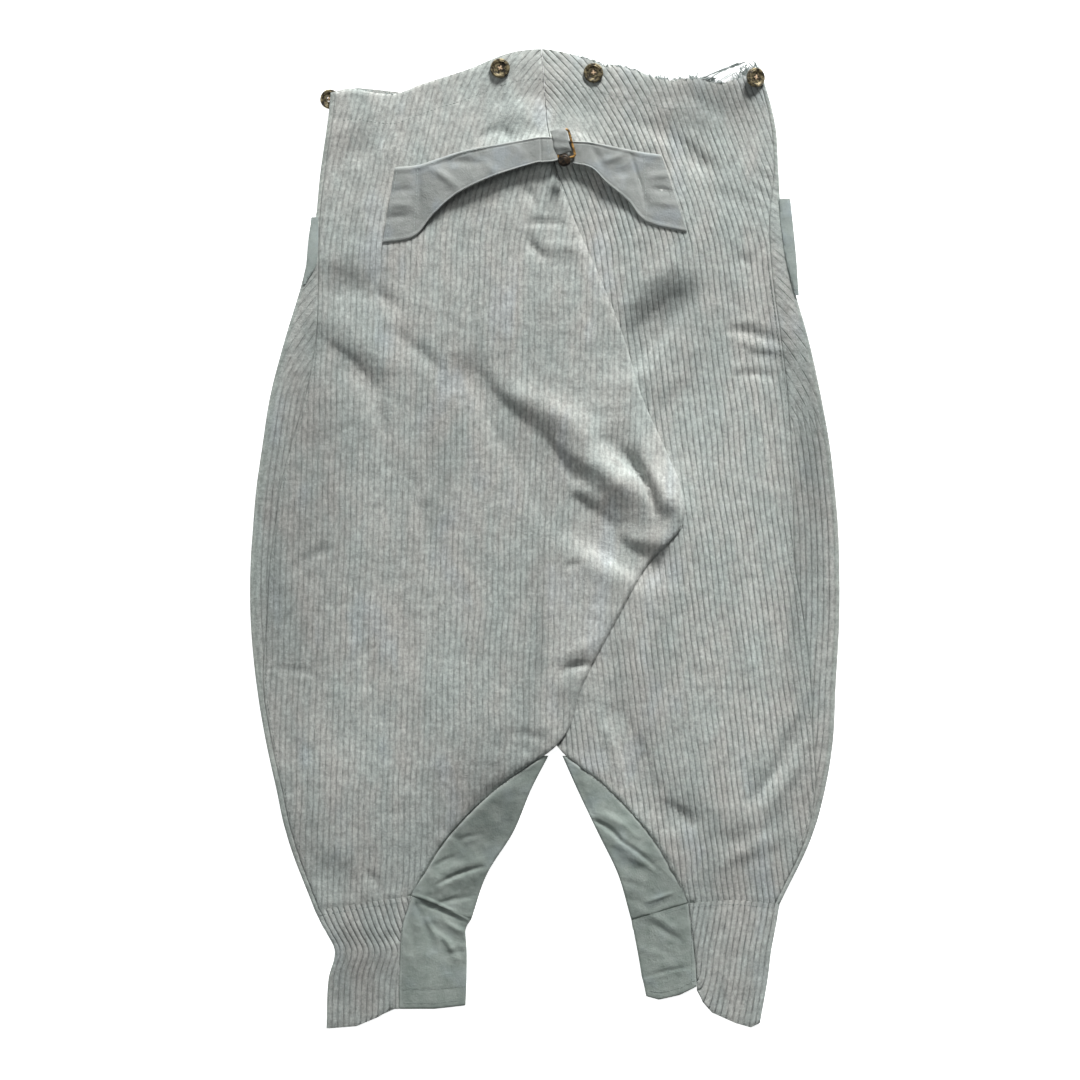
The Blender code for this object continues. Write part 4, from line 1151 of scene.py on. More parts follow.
def twill_material(name, light, dark, blue_share):
    """Plain cotton twill, washed thin: matt and smooth, with a fine slanting line.

    The real line is about 0.5 mm apart; it is drawn at 1.1 mm so that it shows at all.
    """
    material, shader = new_material(name, Roughness=0.86, Sheen_Weight=0.12, Sheen_Roughness=0.5,
                                    Specular_IOR_Level=0.25)
    places, _, wear, soil_and_shading_gain = cloth_places(material)
    turned = add_node(material, "Mapping", {}, {"Vector": places,
                                                "Rotation": (0.0, 0.0, math.radians(52))})
    line = add_node(material, "TexWave", {"wave_type": "BANDS", "bands_direction": "X"},
                    {"Vector": turned, "Scale": 0.314 / 0.0011, "Distortion": 1.2,
                     "Detail": 1.0}, "Fac")
    speck = patchy(material, places, 0.0014, 2.0, 0.6)
    mottle = patchy(material, places, 0.007, 3.0, 0.65)
    crumple = patchy(material, places, 0.013, 4.0, 0.6)
    shade = 0.70
    for part, gain in ((line, 0.05), (speck, 0.26), (mottle, 0.30)):
        shade = add_node(material, "Math", TIMES_PLUS, [part, gain, shade])
    # Times the soiling with its painted shade and light
    shade = add_node(material, "Math", TIMES, [shade, soil_and_shading_gain])
    height = speck
    for part, gain in ((line, 0.4), (mottle, 1.8), (crumple, 3.0)):
        height = add_node(material, "Math", TIMES_PLUS, [part, gain, height])
    cool = patchy(material, places, 0.026, 2.0, 0.5, (0.5, 0.72, 0.0, blue_share))
    edge = add_node(material, "Math", TIMES, [wear, 0.5])
    layers = [(COLOUR, patchy(material, places, 0.016, 5.0, 0.65, (0.25, 0.75)), light),
              (COLOUR, cool, linear("8f9ba6")), (TINT, 1.0, shade),
              (COLOUR, edge, linear("c9cfca"))]
    return finish_surface(material, shader, dark, layers, height, 0.6, 0.0005)


def bronze_material(name, dark, rubbed):
    """Cast bronze, gone nearly black, with warm metal showing where it was handled."""
    material, shader = new_material(name, Roughness=0.45, Metallic=0.60)
    places = add_node(material, "TexCoord", {}, [], "Object")
    rub = patchy(material, places, 0.0034, 4.0, 0.7, (0.40, 0.62))
    rough = patchy(material, places, 0.0012, 2.0, 0.6, (0.3, 0.7, 0.32, 0.62))
    material.node_tree.links.new(rough, shader.inputs["Roughness"])
    pits = patchy(material, places, 0.0007, 2.0, 0.6)
    return finish_surface(material, shader, linear(dark), [(COLOUR, rub, linear(rubbed))], pits,
                          0.35, 0.0002)


def thread_material(name, colour):
    """Soft-spun cotton thread, with a fine unevenness along it."""
    material, shader = new_material(name, Roughness=0.9, Sheen_Weight=0.2)
    places = add_node(material, "TexCoord", {}, [], "Object")
    spun = patchy(material, places, 0.0008, 2.0, 0.6, (0.3, 0.7, 0.75, 1.1))
    return finish_surface(material, shader, linear(colour), [(TINT, 1.0, spun)])


def floor_material():
    """Matt white paper on a light table, which thins the shadows; it has hardly any grain."""
    material, shader = new_material("White backing paper", Roughness=0.95, Specular_IOR_Level=0.0,
                                    Emission_Color=linear("ffffff"), Emission_Strength=0.85)
    places = add_node(material, "TexCoord", {}, [], "Object")
    grain = patchy(material, places, 0.02, 2.0, 0.5, (0.3, 0.7, 0.985, 1.0))
    return finish_surface(material, shader, linear("fdfefe"), [(TINT, 1.0, grain)])


MATERIALS = {}


def material_for(kind):
    """One of the breeches' materials, made when it is first asked for."""
    if kind not in MATERIALS:
        cloth = bpy.context.scene.breeches_cloth
        maker, *values = {
            "corduroy": (corduroy_material, "Washed cotton corduroy", cloth, -0.01),
            # The right side's grooves get more painted dye and shade
            "corduroy_right": (corduroy_material, "Washed cotton corduroy, deep grooves", cloth,
                               0.20),
            "twill": (twill_material, "Washed cotton twill", opaque(cloth.twill),
                      linear("737d77"), 0.15),
            "strap": (twill_material, "Strap twill", opaque(cloth.strap), linear("7c807d"), 0.25),
            "facing": (twill_material, "Pocket facing twill", linear("959e9a"),
                       linear("868f8b"), 0.3),
            "bronze": (bronze_material, "Blackened bronze", "2a261e", "867b5e"),
            "knob": (bronze_material, "Bronze, gone black", "17130f", "3d3022"),
            "brass": (bronze_material, "Tarnished brass wire", "3a2a18", "b98f52"),
            "thread": (thread_material, "Cotton sewing thread", "9aa39e"),
            "dark_thread": (thread_material, "Shadowed sewing thread", "6d7672"),
            "button_thread": (thread_material, "Button thread", "c3a98a"),
            "fray": (thread_material, "Frayed cotton warp", "7d8784"),
            "floor": (floor_material,),
        }[kind]
        MATERIALS[kind] = maker(*values)
    return MATERIALS[kind]


# Fittings, modelled as by hand

def deselect():
    """Nothing selected, in object mode."""
    if bpy.context.object and bpy.context.object.mode != "OBJECT":
        bpy.ops.object.mode_set(mode="OBJECT")
    bpy.ops.object.select_all(action="DESELECT")


def make_active(obj):
    """Only this object selected, and active."""
    deselect()
    obj.select_set(True)
    bpy.context.view_layer.objects.active = obj


def select_faces(test):
    """In edit mode, selects the faces whose normal and centre pass a test."""
    bpy.ops.mesh.select_mode(type="FACE")
    bpy.ops.mesh.select_all(action="DESELECT")
    mesh = bmesh.from_edit_mesh(bpy.context.object.data)
    for face in mesh.faces:
        face.select_set(test(face.normal, face.calc_center_median()))
    bmesh.update_edit_mesh(bpy.context.object.data)


def apply_modifiers(obj):
    """Applies an object's modifiers in order."""
    make_active(obj)
    for modifier in list(obj.modifiers):
        bpy.ops.object.modifier_apply(modifier=modifier.name)


def soften_edges(obj, width):
    """Breaks an object's sharp edges."""
    bevel = obj.modifiers.new("Soft edges", "BEVEL")
    bevel.width = width
    bevel.segments = 2
    bevel.limit_method = "ANGLE"
    apply_modifiers(obj)


def settle(obj, matrix=None):
    """Bakes an object's place into its mesh."""
    if matrix is not None:
        obj.matrix_world = matrix @ obj.matrix_world
    bpy.context.view_layer.update()
    make_active(obj)
    bpy.ops.object.transform_apply(location=True, rotation=True, scale=True)


def finish_piece(obj, name, material, replaced=()):
    """Names a piece, gives it its one material and lets it ride with the breeches."""
    obj.name = name
    obj.data.name = name
    if material is not None:
        obj.data.materials.clear()
        obj.data.materials.append(material)
    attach(obj, "root")
    if replaced:
        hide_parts(*replaced)
    return obj


def copy_of(obj):
    """A copy with its own mesh."""
    twin = obj.copy()
    twin.data = obj.data.copy()
    bpy.context.scene.collection.objects.link(twin)
    return twin


def model_button(sizes):
    """A four-hole brace button: turned rim, ring and sunk middle, with drilled holes."""
    deselect()
    radius = sizes.button_diameter / 2
    bpy.ops.mesh.primitive_cylinder_add(vertices=48, radius=radius, depth=0.0022,
                                        location=(0, 0, 0.0011))
    button = bpy.context.object
    bpy.ops.object.mode_set(mode="EDIT")
    select_faces(lambda normal, centre: normal.z > 0.9)
    for width, rise in ((0.7, 0.8), (0.8, 0.2), (0.4, -0.5), (0.4, 0.4), (1.0, -1.2), (0.6, -0.1)):
        bpy.ops.mesh.inset(thickness=width * MM)
        bpy.ops.transform.translate(value=(0, 0, rise * MM))
    select_faces(lambda normal, centre: normal.z < -0.9)
    bpy.ops.mesh.inset(thickness=0.0014)
    bpy.ops.object.mode_set(mode="OBJECT")
    soften_edges(button, 0.00018)
    for number in range(4):
        angle = math.radians(45 + 90 * number)
        deselect()
        bpy.ops.mesh.primitive_cylinder_add(
            vertices=20, radius=0.00095, depth=0.02,
            location=(0.0020 * math.cos(angle), 0.0020 * math.sin(angle), 0))
        drill = bpy.context.object
        hole = button.modifiers.new("Hole", "BOOLEAN")
        hole.operation = "DIFFERENCE"
        hole.object = drill
        apply_modifiers(button)
        bpy.data.objects.remove(drill, do_unlink=True)
    make_active(button)
    bpy.ops.object.shade_smooth_by_angle(angle=math.radians(35))
    return button


def model_button_thread():
    """The cross of thread that sews a button on, as two fat strands over the holes."""
    strands = []
    for turn in (45, 135):
        for side in (-1, 1):
            deselect()
            bpy.ops.mesh.primitive_uv_sphere_add(segments=8, ring_count=7, radius=0.001)
            strand = bpy.context.object
            matrix = (Matrix.Rotation(math.radians(turn), 4, "Z")
                      @ Matrix.Translation((0, side * 0.00032, 0.00225))
                      @ Matrix.Diagonal((2.6, 0.36, 0.5, 1.0)))
            settle(strand, matrix)
            strands.append(strand)
    deselect()
    for strand in strands:
        strand.select_set(True)
    bpy.context.view_layer.objects.active = strands[0]
    bpy.ops.object.join()
    bpy.ops.object.shade_smooth()
    return bpy.context.object


def round_strands(name, lines, radius, resolution, closed):
    """Round wires or threads along lines of points in metres, made one mesh."""
    curve = bpy.data.curves.new(name, "CURVE")
    curve.dimensions = "3D"
    curve.bevel_depth = radius
    curve.bevel_resolution = resolution
    curve.use_fill_caps = not closed
    for points in lines:
        spline = curve.splines.new("POLY")
        spline.points.add(len(points) - 1)
        for point, place in zip(spline.points, points):
            point.co = (*place, 1.0)
        spline.use_cyclic_u = closed
    obj = bpy.data.objects.new(name, curve)
    bpy.context.scene.collection.objects.link(obj)
    make_active(obj)
    bpy.ops.object.convert(target="MESH")
    return bpy.context.object


def rounded_frame(width, height, corner):
    """Points round a rectangle with round corners."""
    points = []
    for quarter, (sx, sy) in enumerate(((1, 1), (-1, 1), (-1, -1), (1, -1))):
        for part in range(7):
            angle = math.radians(90 * quarter + 15 * part)
            points.append((sx * (width / 2 - corner) + corner * math.cos(angle),
                           sy * (height / 2 - corner) + corner * math.sin(angle), 0.0))
    return points


# Sewing

def polyline_steps(points, pitch):
    """Places and headings at even steps along a line of (x, y) points in millimetres."""
    points = np.asarray(points, float)
    lengths = np.hypot(*np.diff(points, axis=0).T)
    reach = np.concatenate([[0.0], np.cumsum(lengths)])
    at = np.arange(pitch / 2, reach[-1], pitch)
    x = np.interp(at, reach, points[:, 0])
    y = np.interp(at, reach, points[:, 1])
    ahead_x = np.interp(at + 0.5, reach, points[:, 0]) - np.interp(at - 0.5, reach, points[:, 0])
    ahead_y = np.interp(at + 0.5, reach, points[:, 1]) - np.interp(at - 0.5, reach, points[:, 1])
    return x, y, np.arctan2(ahead_y, ahead_x)


def stitch_rows(name, lines, height, pitch, length, thick, material, seed):
    """A joined mesh of short stitches along lines, sunk a little in the cloth."""
    deselect()
    bpy.ops.mesh.primitive_uv_sphere_add(segments=6, ring_count=5, radius=1.0)
    model = bpy.context.object
    corners = np.array([v.co for v in model.data.vertices])
    shape = [list(face.vertices) for face in model.data.polygons]
    bpy.data.objects.remove(model, do_unlink=True)
    rng = np.random.default_rng(seed)
    points = []
    faces = []
    for line in lines:
        x, y, heading = polyline_steps(line, pitch)
        x = x + rng.normal(0.0, 0.12, len(x))
        y = y + rng.normal(0.0, 0.12, len(y))
        heading = heading + rng.normal(0.0, 0.06, len(x))
        z = height(x, y)
        ahead = height(x + np.cos(heading), y + np.sin(heading)) - z
        for index in range(len(x)):
            if not np.isfinite(z[index]):
                continue
            local = corners * (length / 2, thick / 2, thick / 2)
            turn = Matrix.Rotation(heading[index], 3, "Z") @ Matrix.Rotation(
                -math.atan(ahead[index]), 3, "Y")
            placed = local @ np.array(turn).T + (x[index], y[index], z[index])
            faces += [[corner + len(points) for corner in face] for face in shape]
            points += list(placed * MM)
    return mesh_piece(name, np.array(points), faces, material)


# Settings that a user would change

def colour_property(name, description, value):
    """A colour that a user would change."""
    return FloatVectorProperty(name=name, description=description, subtype="COLOR", size=3,
                               default=linear(value)[:3])


def length_property(name, description, value):
    """A length that a user would change."""
    return FloatProperty(name=name, description=description, unit="LENGTH", default=value)


class BreechesCloth(bpy.types.PropertyGroup):
    """Colours of the corduroy and the twill."""

    cloth_green: colour_property("Green-grey pile", "Where the corduroy kept its dye", "9aa19d")
    cloth_beige: colour_property("Beige pile", "Where it was rubbed and stained", "a5a5a0")
    cloth_blue: colour_property("Blue-grey pile", "Cool patches of the corduroy", "a0a9ac")
    # Colour of the grooves: the dye kept there and painted shade
    groove_dye_and_shade: colour_property("Grooves", "The ground between two cords", "59635d")
    worn_edge: colour_property("Worn edge", "Where the pile is gone along folds", "8d9791")
    twill: colour_property("Twill", "Gussets, calf pieces and facings", "8b938d")
    strap: colour_property("Strap twill", "Cinch straps", "8d908d")


class BreechesFittings(bpy.types.PropertyGroup):
    """Sizes of the buttons, the buckle and the sewing."""

    button_diameter: length_property("Button diameter", "Across a brace button", 0.017)
    buckle_wire: length_property("Buckle wire", "Thickness of the buckle's wire", 0.0022)
    stitch_length: length_property("Stitch length", "Length of one topstitch", 0.0024)
    fray_length: length_property("Fray length", "Most that a thread stands off", 0.009)


class BreechesStage(bpy.types.PropertyGroup):
    """Floor, light and camera."""

    floor_size: length_property("Floor size", "Side of the paper floor", 8.0)
    camera_height: length_property("Camera height", "Lens above the floor", 3.0)
    framed_width: length_property("Framed width", "Floor seen from side to side", 0.9396)
    key_power: FloatProperty(
        name="Key light", description="Power of the large soft light", unit="POWER",
        default=545.0)
    fill_strength: FloatProperty(
        name="Fill light", description="Strength of the even light all round", default=0.145)


# Operators

def dress(obj, node, slot, flat, area, *rests_on):
    """Lets a sheet of cloth ride and replace its solid."""
    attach(obj, "root")
    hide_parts(node)


class OBJECT_OT_breeches_backs(bpy.types.Operator):
    """Cuts the two corduroy backs, the left one lying over the right"""

    bl_idname = "object.breeches_backs"
    bl_label = "Backs"

    def execute(self, context):
        left = make_back("cloth_back_left", -1, material_for("corduroy"))
        right = make_back("cloth_back_right", 1, material_for("corduroy_right"))
        dress(left, "back_left", "corduroy", (0.38, 0.76), 0.186,
              "cloth_front_left", "cloth_back_right")
        dress(right, "back_right", "corduroy", (0.26, 0.74), 0.141, "cloth_front_right")
        return {"FINISHED"}


class OBJECT_OT_breeches_fronts(bpy.types.Operator):
    """Cuts the two fronts, which fold over the outer edges to the side seams"""

    bl_idname = "object.breeches_fronts"
    bl_label = "Fronts"

    def execute(self, context):
        left = make_front("cloth_front_left", -1, material_for("corduroy"))
        right = make_front("cloth_front_right", 1, material_for("corduroy_right"))
        dress(left, "front_left", "corduroy", (0.31, 0.73), 0.156, "floor")
        dress(right, "front_right", "corduroy", (0.31, 0.75), 0.162, "floor")
        return {"FINISHED"}


class OBJECT_OT_breeches_legs(bpy.types.Operator):
    """Cuts the lower leg: corduroy outside, twill inside, and the gussets above"""

    bl_idname = "object.breeches_legs"
    bl_label = "Lower legs"

    def execute(self, context):
        for side, word in ((-1, "left"), (1, "right")):
            cord = material_for("corduroy" if side < 0 else "corduroy_right")
            knee = make_lower(f"cloth_knee_{word}", word, "_edge", -side, KNEE_SEAM, CORD_HEM,
                              CORD_WALL, FLAT_WALL, True, cord)
            calf = make_lower(f"cloth_calf_{word}", word, "_inner", side, GUSSET_FOOT,
                              TWILL_HEM, TWILL, TWILL, False, material_for("twill"))
            gusset = make_gusset(f"cloth_gusset_{word}", side, material_for("twill"))
            dress(knee, f"knee_{word}", "corduroy", (0.15, 0.112), 0.0138, "floor")
            dress(calf, f"calf_{word}", "twill", (0.116, 0.098),
                  0.0101 if side < 0 else 0.0072, "floor")
            dress(gusset, f"gusset_{word}", "twill", (0.135, 0.145), 0.0112, "floor")
        return {"FINISHED"}


class OBJECT_OT_breeches_facings(bpy.types.Operator):
    """Cuts the pocket facings and the hidden fly placket"""

    bl_idname = "object.breeches_facings"
    bl_label = "Facings"

    def execute(self, context):
        left = make_flat_strip("cloth_pocket_left", LEFT_FACING,
                               pocket_height("pocket_left"), material_for("facing"))
        right = make_flat_strip("cloth_pocket_right", RIGHT_FACING,
                                pocket_height("pocket_right"), material_for("facing"))
        placket = make_flat_strip("cloth_fly_placket", PLACKET,
                                  pocket_height("fly_placket"), material_for("twill"))
        dress(left, "pocket_left", "twill", (0.016, 0.061), 0.0005, "cloth_front_left")
        dress(right, "pocket_right", "twill", (0.016, 0.098), 0.0008, "cloth_front_right")
        dress(placket, "fly_placket", "twill", (0.034, 0.171), None, "cloth_front_left")
        return {"FINISHED"}


def pocket_height(node):
    """The height of a flat strip's underside, read from its solid."""
    corners = np.array([v.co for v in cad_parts[node].data.vertices]) / MM
    middle = float(np.mean(corners[:, 2])) - TWILL / 2
    return lambda x, y: middle + 0.0 * x


class OBJECT_OT_breeches_straps(bpy.types.Operator):
    """Cuts the two cinch straps that meet in the buckle"""

    bl_idname = "object.breeches_straps"
    bl_label = "Cinch straps"

    def execute(self, context):
        left_creases = [Crease(*row) for row in (
            (-4, 350, -3, 324, 0, 0.9, -0.5), (-98, 322, -74, 302, 1, 3, 1.0),
            (-94, 327, -54, 325, 1, 3.5, -0.8), (-54, 329, -43, 315, 1, 3, 0.7),
            (-110, 321, -109, 284, 0, 2.5, -0.7), (-133, 302, -114, 303, 0, 3, -0.6),
            (-134, 291, -116, 290, 0, 3, 0.6), (-138, 279, -118, 281, 0, 3, -0.6),
            (-60, 334, -40, 320, 1, 3, -0.5), (-30, 344, -16, 330, -1, 3, 0.5))]
        right_creases = [Crease(*row) for row in (
            (50, 327, 70, 336, -1, 3, 0.8), (60, 316, 76, 322, -1, 4, -0.6),
            (74, 336, 89, 287, 0, 1.8, -0.9), (90, 315, 110, 316, 0.5, 3, 0.7),
            (92, 304, 113, 301, 0.5, 3, -0.8), (94, 293, 115, 290, 0, 3, 0.6),
            (40, 340, 50, 322, 1, 3, -0.5))]
        left = make_strap("cloth_strap_left", LEFT_STRAP, left_creases, material_for("strap"))
        right = make_strap("cloth_strap_right", RIGHT_STRAP, right_creases,
                           material_for("strap"))
        dress(left, "strap_left", "strap_twill", (0.17, 0.066), 0.0055, "cloth_back_left")
        dress(right, "strap_right", "strap_twill", (0.115, 0.07), 0.0042, "cloth_back_right")
        return {"FINISHED"}


class OBJECT_OT_breeches_buckle(bpy.types.Operator):
    """Bends the slide buckle's wire and turns its knob"""

    bl_idname = "object.breeches_buckle"
    bl_label = "Buckle"

    def execute(self, context):
        sizes = context.scene.breeches_fittings
        low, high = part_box("buckle_frame")
        place = Matrix.Translation((BUCKLE_CENTRE[0] * MM, BUCKLE_CENTRE[1] * MM,
                                    (low.z + high.z) / 2))
        place = place @ Matrix.Rotation(math.radians(BUCKLE_TURN), 4, "Z")
        wire = sizes.buckle_wire
        outline = rounded_frame(0.0165 - wire, 0.0265 - wire, 0.0024)
        ring = round_strands("buckle_wire", [outline], wire / 2, 3, True)
        bpy.ops.object.shade_smooth()
        settle(ring, place @ Matrix.Translation((0.0018, 0, 0)))
        finish_piece(ring, "buckle_wire", material_for("brass"), ["buckle_frame"])

        loop = self.cloth_loop(wire)
        settle(loop, place @ Matrix.Translation((0.0002, 0.0036, 0.0)))
        finish_piece(loop, "buckle_loop", material_for("strap"))

        low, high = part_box("buckle_prong")
        deselect()
        bpy.ops.mesh.primitive_uv_sphere_add(segments=32, ring_count=18, radius=0.0057,
                                             location=(0, 0, 0))
        knob = bpy.context.object
        knob.data.transform(Matrix.Diagonal((1.0, 0.95, 0.55, 1.0)))
        bpy.ops.object.mode_set(mode="EDIT")
        select_faces(lambda normal, middle: middle.z > 0.0024)
        bpy.ops.mesh.inset(thickness=0.0004)
        bpy.ops.transform.translate(value=(0, 0, -0.0003))
        bpy.ops.object.mode_set(mode="OBJECT")
        bpy.ops.object.shade_smooth()
        settle(knob, Matrix.Translation((0.0166, 0.3272, high.z)))
        finish_piece(knob, "buckle_knob", material_for("knob"), ["buckle_prong"])
        return {"FINISHED"}

    def cloth_loop(self, wire):
        """The end of the right strap, turned over the buckle's bar in a short domed loop."""
        deselect()
        bpy.ops.mesh.primitive_cube_add(size=1.0)
        loop = bpy.context.object
        loop.data.transform(Matrix.Diagonal((0.0132, 0.0215, 0.0014, 1.0)))
        bpy.ops.object.mode_set(mode="EDIT")
        bpy.ops.mesh.select_all(action="SELECT")
        bpy.ops.mesh.subdivide(number_cuts=14)
        bpy.ops.object.mode_set(mode="OBJECT")
        for vertex in loop.data.vertices:
            across, along = vertex.co.x / 0.0066, vertex.co.y / 0.01075
            vertex.co.z += wire / 2 + 0.0012 - 0.0008 * across ** 4
            vertex.co.z -= 0.0016 * max(0.0, abs(along) - 0.55) / 0.45
            vertex.co.z += 0.00025 * math.sin(9.0 * along + 2.0 * across)
            vertex.co.x += 0.0004 * math.sin(4.0 * along)
        soften_edges(loop, 0.0005)
        bpy.ops.object.shade_smooth()
        return loop


BUTTON_SPOTS = [            # name, X, Y, tilt about Y, turn of the holes
    ("button_back_left", -39, 409, 0, 20),
    ("button_back_right", 42, 405, 0, 50),
    ("button_side_right", 183, 401, 22, 35),
    ("button_side_left", -187, 383, 0, 10),
]


class OBJECT_OT_breeches_buttons(bpy.types.Operator):
    """Turns the four brace buttons and sews them on"""

    bl_idname = "object.breeches_buttons"
    bl_label = "Brace buttons"

    def execute(self, context):
        model = model_button(context.scene.breeches_fittings)
        thread = model_button_thread()
        for name, x, y, tilt, turn in BUTTON_SPOTS:
            low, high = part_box(name)
            middle = (low.z + high.z) / 2
            place = (Matrix.Translation((x * MM, y * MM, middle))
                     @ Matrix.Rotation(math.radians(tilt), 4, "Y")
                     @ Matrix.Rotation(math.radians(turn), 4, "Z")
                     @ Matrix.Translation((0, 0, -0.0016)))
            button = copy_of(model)
            settle(button, place)
            finish_piece(button, f"brace_{name}", material_for("bronze"), [name])
            cross = copy_of(thread)
            settle(cross, place)
            finish_piece(cross, f"thread_{name}", material_for("button_thread"))
        for spare in (model, thread):
            bpy.data.objects.remove(spare, do_unlink=True)
        return {"FINISHED"}


def cloth_top(x, y):
    """Height of the cords' crests, with the left back's lift over the right one."""
    x = np.asarray(x, float)
    y = np.asarray(y, float)
    edge = section(THIGH, "right_inner", y)
    over = (x < edge) & (y < THIGH[1].y) & (y > GUSSET_ROW_Y)
    high = np.where(over, left_back_underside(x, y), underside(x, y))
    return high + CORD_WALL + CORD_RISE - 0.1


def twill_top(x, y):
    """Height of the upper layer of plain twill."""
    return underside(np.asarray(x, float), np.asarray(y, float)) + TWILL + 0.05


class OBJECT_OT_breeches_sewing(bpy.types.Operator):
    """Sews the rows of stitches that show"""

    bl_idname = "object.breeches_sewing"
    bl_label = "Topstitching"

    def execute(self, context):
        length = context.scene.breeches_fittings.stitch_length / MM
        knee_left = [(x, float(edge_y(KNEE_SEAM, x)) - 4.0) for x in range(-196, -116, 8)]
        knee_right = [(x, float(edge_y(KNEE_SEAM, x)) - 3.5) for x in range(128, 201, 8)]
        waist = [(x, float(soft_edge_y(BACK_WAIST, x)) - 26.0) for x in range(-176, 184, 10)]
        seam_left = [(float(section(THIGH, "left_seam", y)) + 2.6, y)
                     for y in range(200, -300, -20)]
        seam_right = [(float(section(THIGH, "right_seam", y)) - 2.6, y)
                      for y in range(240, -300, -20)]
        gusset_left = [(float(gusset_seam("left", y)) - 2.4, y) for y in range(-196, -308, -8)]
        gusset_right = [(float(gusset_seam("right", y)) + 2.4, y) for y in range(-196, -312, -8)]
        corduroy = stitch_rows("stitches_corduroy",
                               [knee_left, knee_right, waist, seam_left, seam_right,
                                gusset_left, gusset_right],
                               cloth_top, 3.4, length, 0.5, material_for("dark_thread"), 5)
        hem_left = [(x, float(edge_y(TWILL_HEM, x)) + rise) for rise in (5.0, 17.0)
                    for x in range(-124, -70, 6)]
        half = len(hem_left) // 2
        hem_right = [(x, float(edge_y(TWILL_HEM, x)) + 6.0) for x in range(91, 132, 5)]
        foot_left = [(x, float(edge_y(GUSSET_FOOT, x)) - 3.0) for x in range(-113, -65, 6)]
        foot_right = [(x, float(edge_y(GUSSET_FOOT, x)) - 3.0) for x in range(78, 124, 6)]
        slit_left = [(-124.0, y) for y in range(-320, -404, -8)]
        slit_right = [(127.0 + (y + 324) * -0.01, y) for y in range(-330, -388, -8)]
        twill = stitch_rows("stitches_twill",
                            [hem_left[:half], hem_left[half:], hem_right, foot_left,
                             foot_right, slit_left, slit_right],
                            twill_top, 3.0, length, 0.45, material_for("dark_thread"), 6)
        for obj in (corduroy, twill):
            finish_piece(obj, obj.name, None)
        return {"FINISHED"}


class OBJECT_OT_breeches_strap_sewing(bpy.types.Operator):
    """Sews the straps down and topstitches their edges"""

    bl_idname = "object.breeches_strap_sewing"
    bl_label = "Strap stitching"

    def execute(self, context):
        length = context.scene.breeches_fittings.stitch_length / MM

        def line(stations, share, first, last):
            return [strap_place(stations, share, at) for at in np.linspace(first, last, 30)]

        def across(stations, at):
            return [line(stations, share, at, at)[0] for share in np.linspace(0.04, 0.96, 20)]

        def top_of(stations):
            grid_at = np.linspace(0, len(stations) - 1, 240)
            x_middle = strap_place(stations, 0.5, grid_at)[0]
            order = np.argsort(x_middle)

            def height(x, y):
                at = np.interp(x, x_middle[order], grid_at[order])
                return strap_base(x, y) + strap_line(stations, "rise", at) + TWILL
            return height

        left_lines = [line(LEFT_STRAP, 0.045, 0.1, 5.0), line(LEFT_STRAP, 0.955, 0.1, 5.0),
                      across(LEFT_STRAP, 0.10), across(LEFT_STRAP, 1.0),
                      across(LEFT_STRAP, 6.6)]
        right_lines = [line(RIGHT_STRAP, 0.045, 0.1, 5.2), line(RIGHT_STRAP, 0.955, 0.1, 5.2),
                       across(RIGHT_STRAP, 0.12), across(RIGHT_STRAP, 1.0)]
        left = stitch_rows("stitches_strap_left", left_lines, top_of(LEFT_STRAP), 3.0, length,
                           0.42, material_for("thread"), 7)
        right = stitch_rows("stitches_strap_right", right_lines, top_of(RIGHT_STRAP), 3.0,
                            length, 0.42, material_for("thread"), 8)
        for obj in (left, right):
            finish_piece(obj, obj.name, None)
        return {"FINISHED"}


FRAY_RADIUS = 0.0003

# Tufts of loose threads at the waist: X, spread along the edge, number and longest
Tuft = namedtuple("Tuft", "x spread number longest")
TUFTS = [Tuft(*row) for row in (
    (128, 3, 18, 6.0), (177, 4, 60, 9.0), (168, 4, 24, 7.0), (99, 4, 16, 5.0), (143, 3, 14, 5.0),
    (100, 8, 16, 4.0), (74, 8, 14, 3.5), (150, 6, 16, 5.0), (60, 8, 12, 3.0), (114, 6, 14, 4.0),
    (138, 6, 16, 4.0), (-152, 6, 9, 2.5), (-134, 5, 9, 2.5))]
LONG_THREADS = [            # from X, to X and Y, and how far the thread sags
    (140, 168, 414, 1.5), (141, 170, 412, 2.5), (138, 165, 410, 2.0), (146, 174, 415, 3.0),
    (137, 172, 413, 1.2), (139, 171, 414, 1.8), (142, 176, 415, 2.2), (139, 166, 412, 1.6),
    (143, 172, 416, 2.0), (136, 169, 412, 0.8), (150, 178, 414, 1.0), (152, 176, 412, 0.4),
]


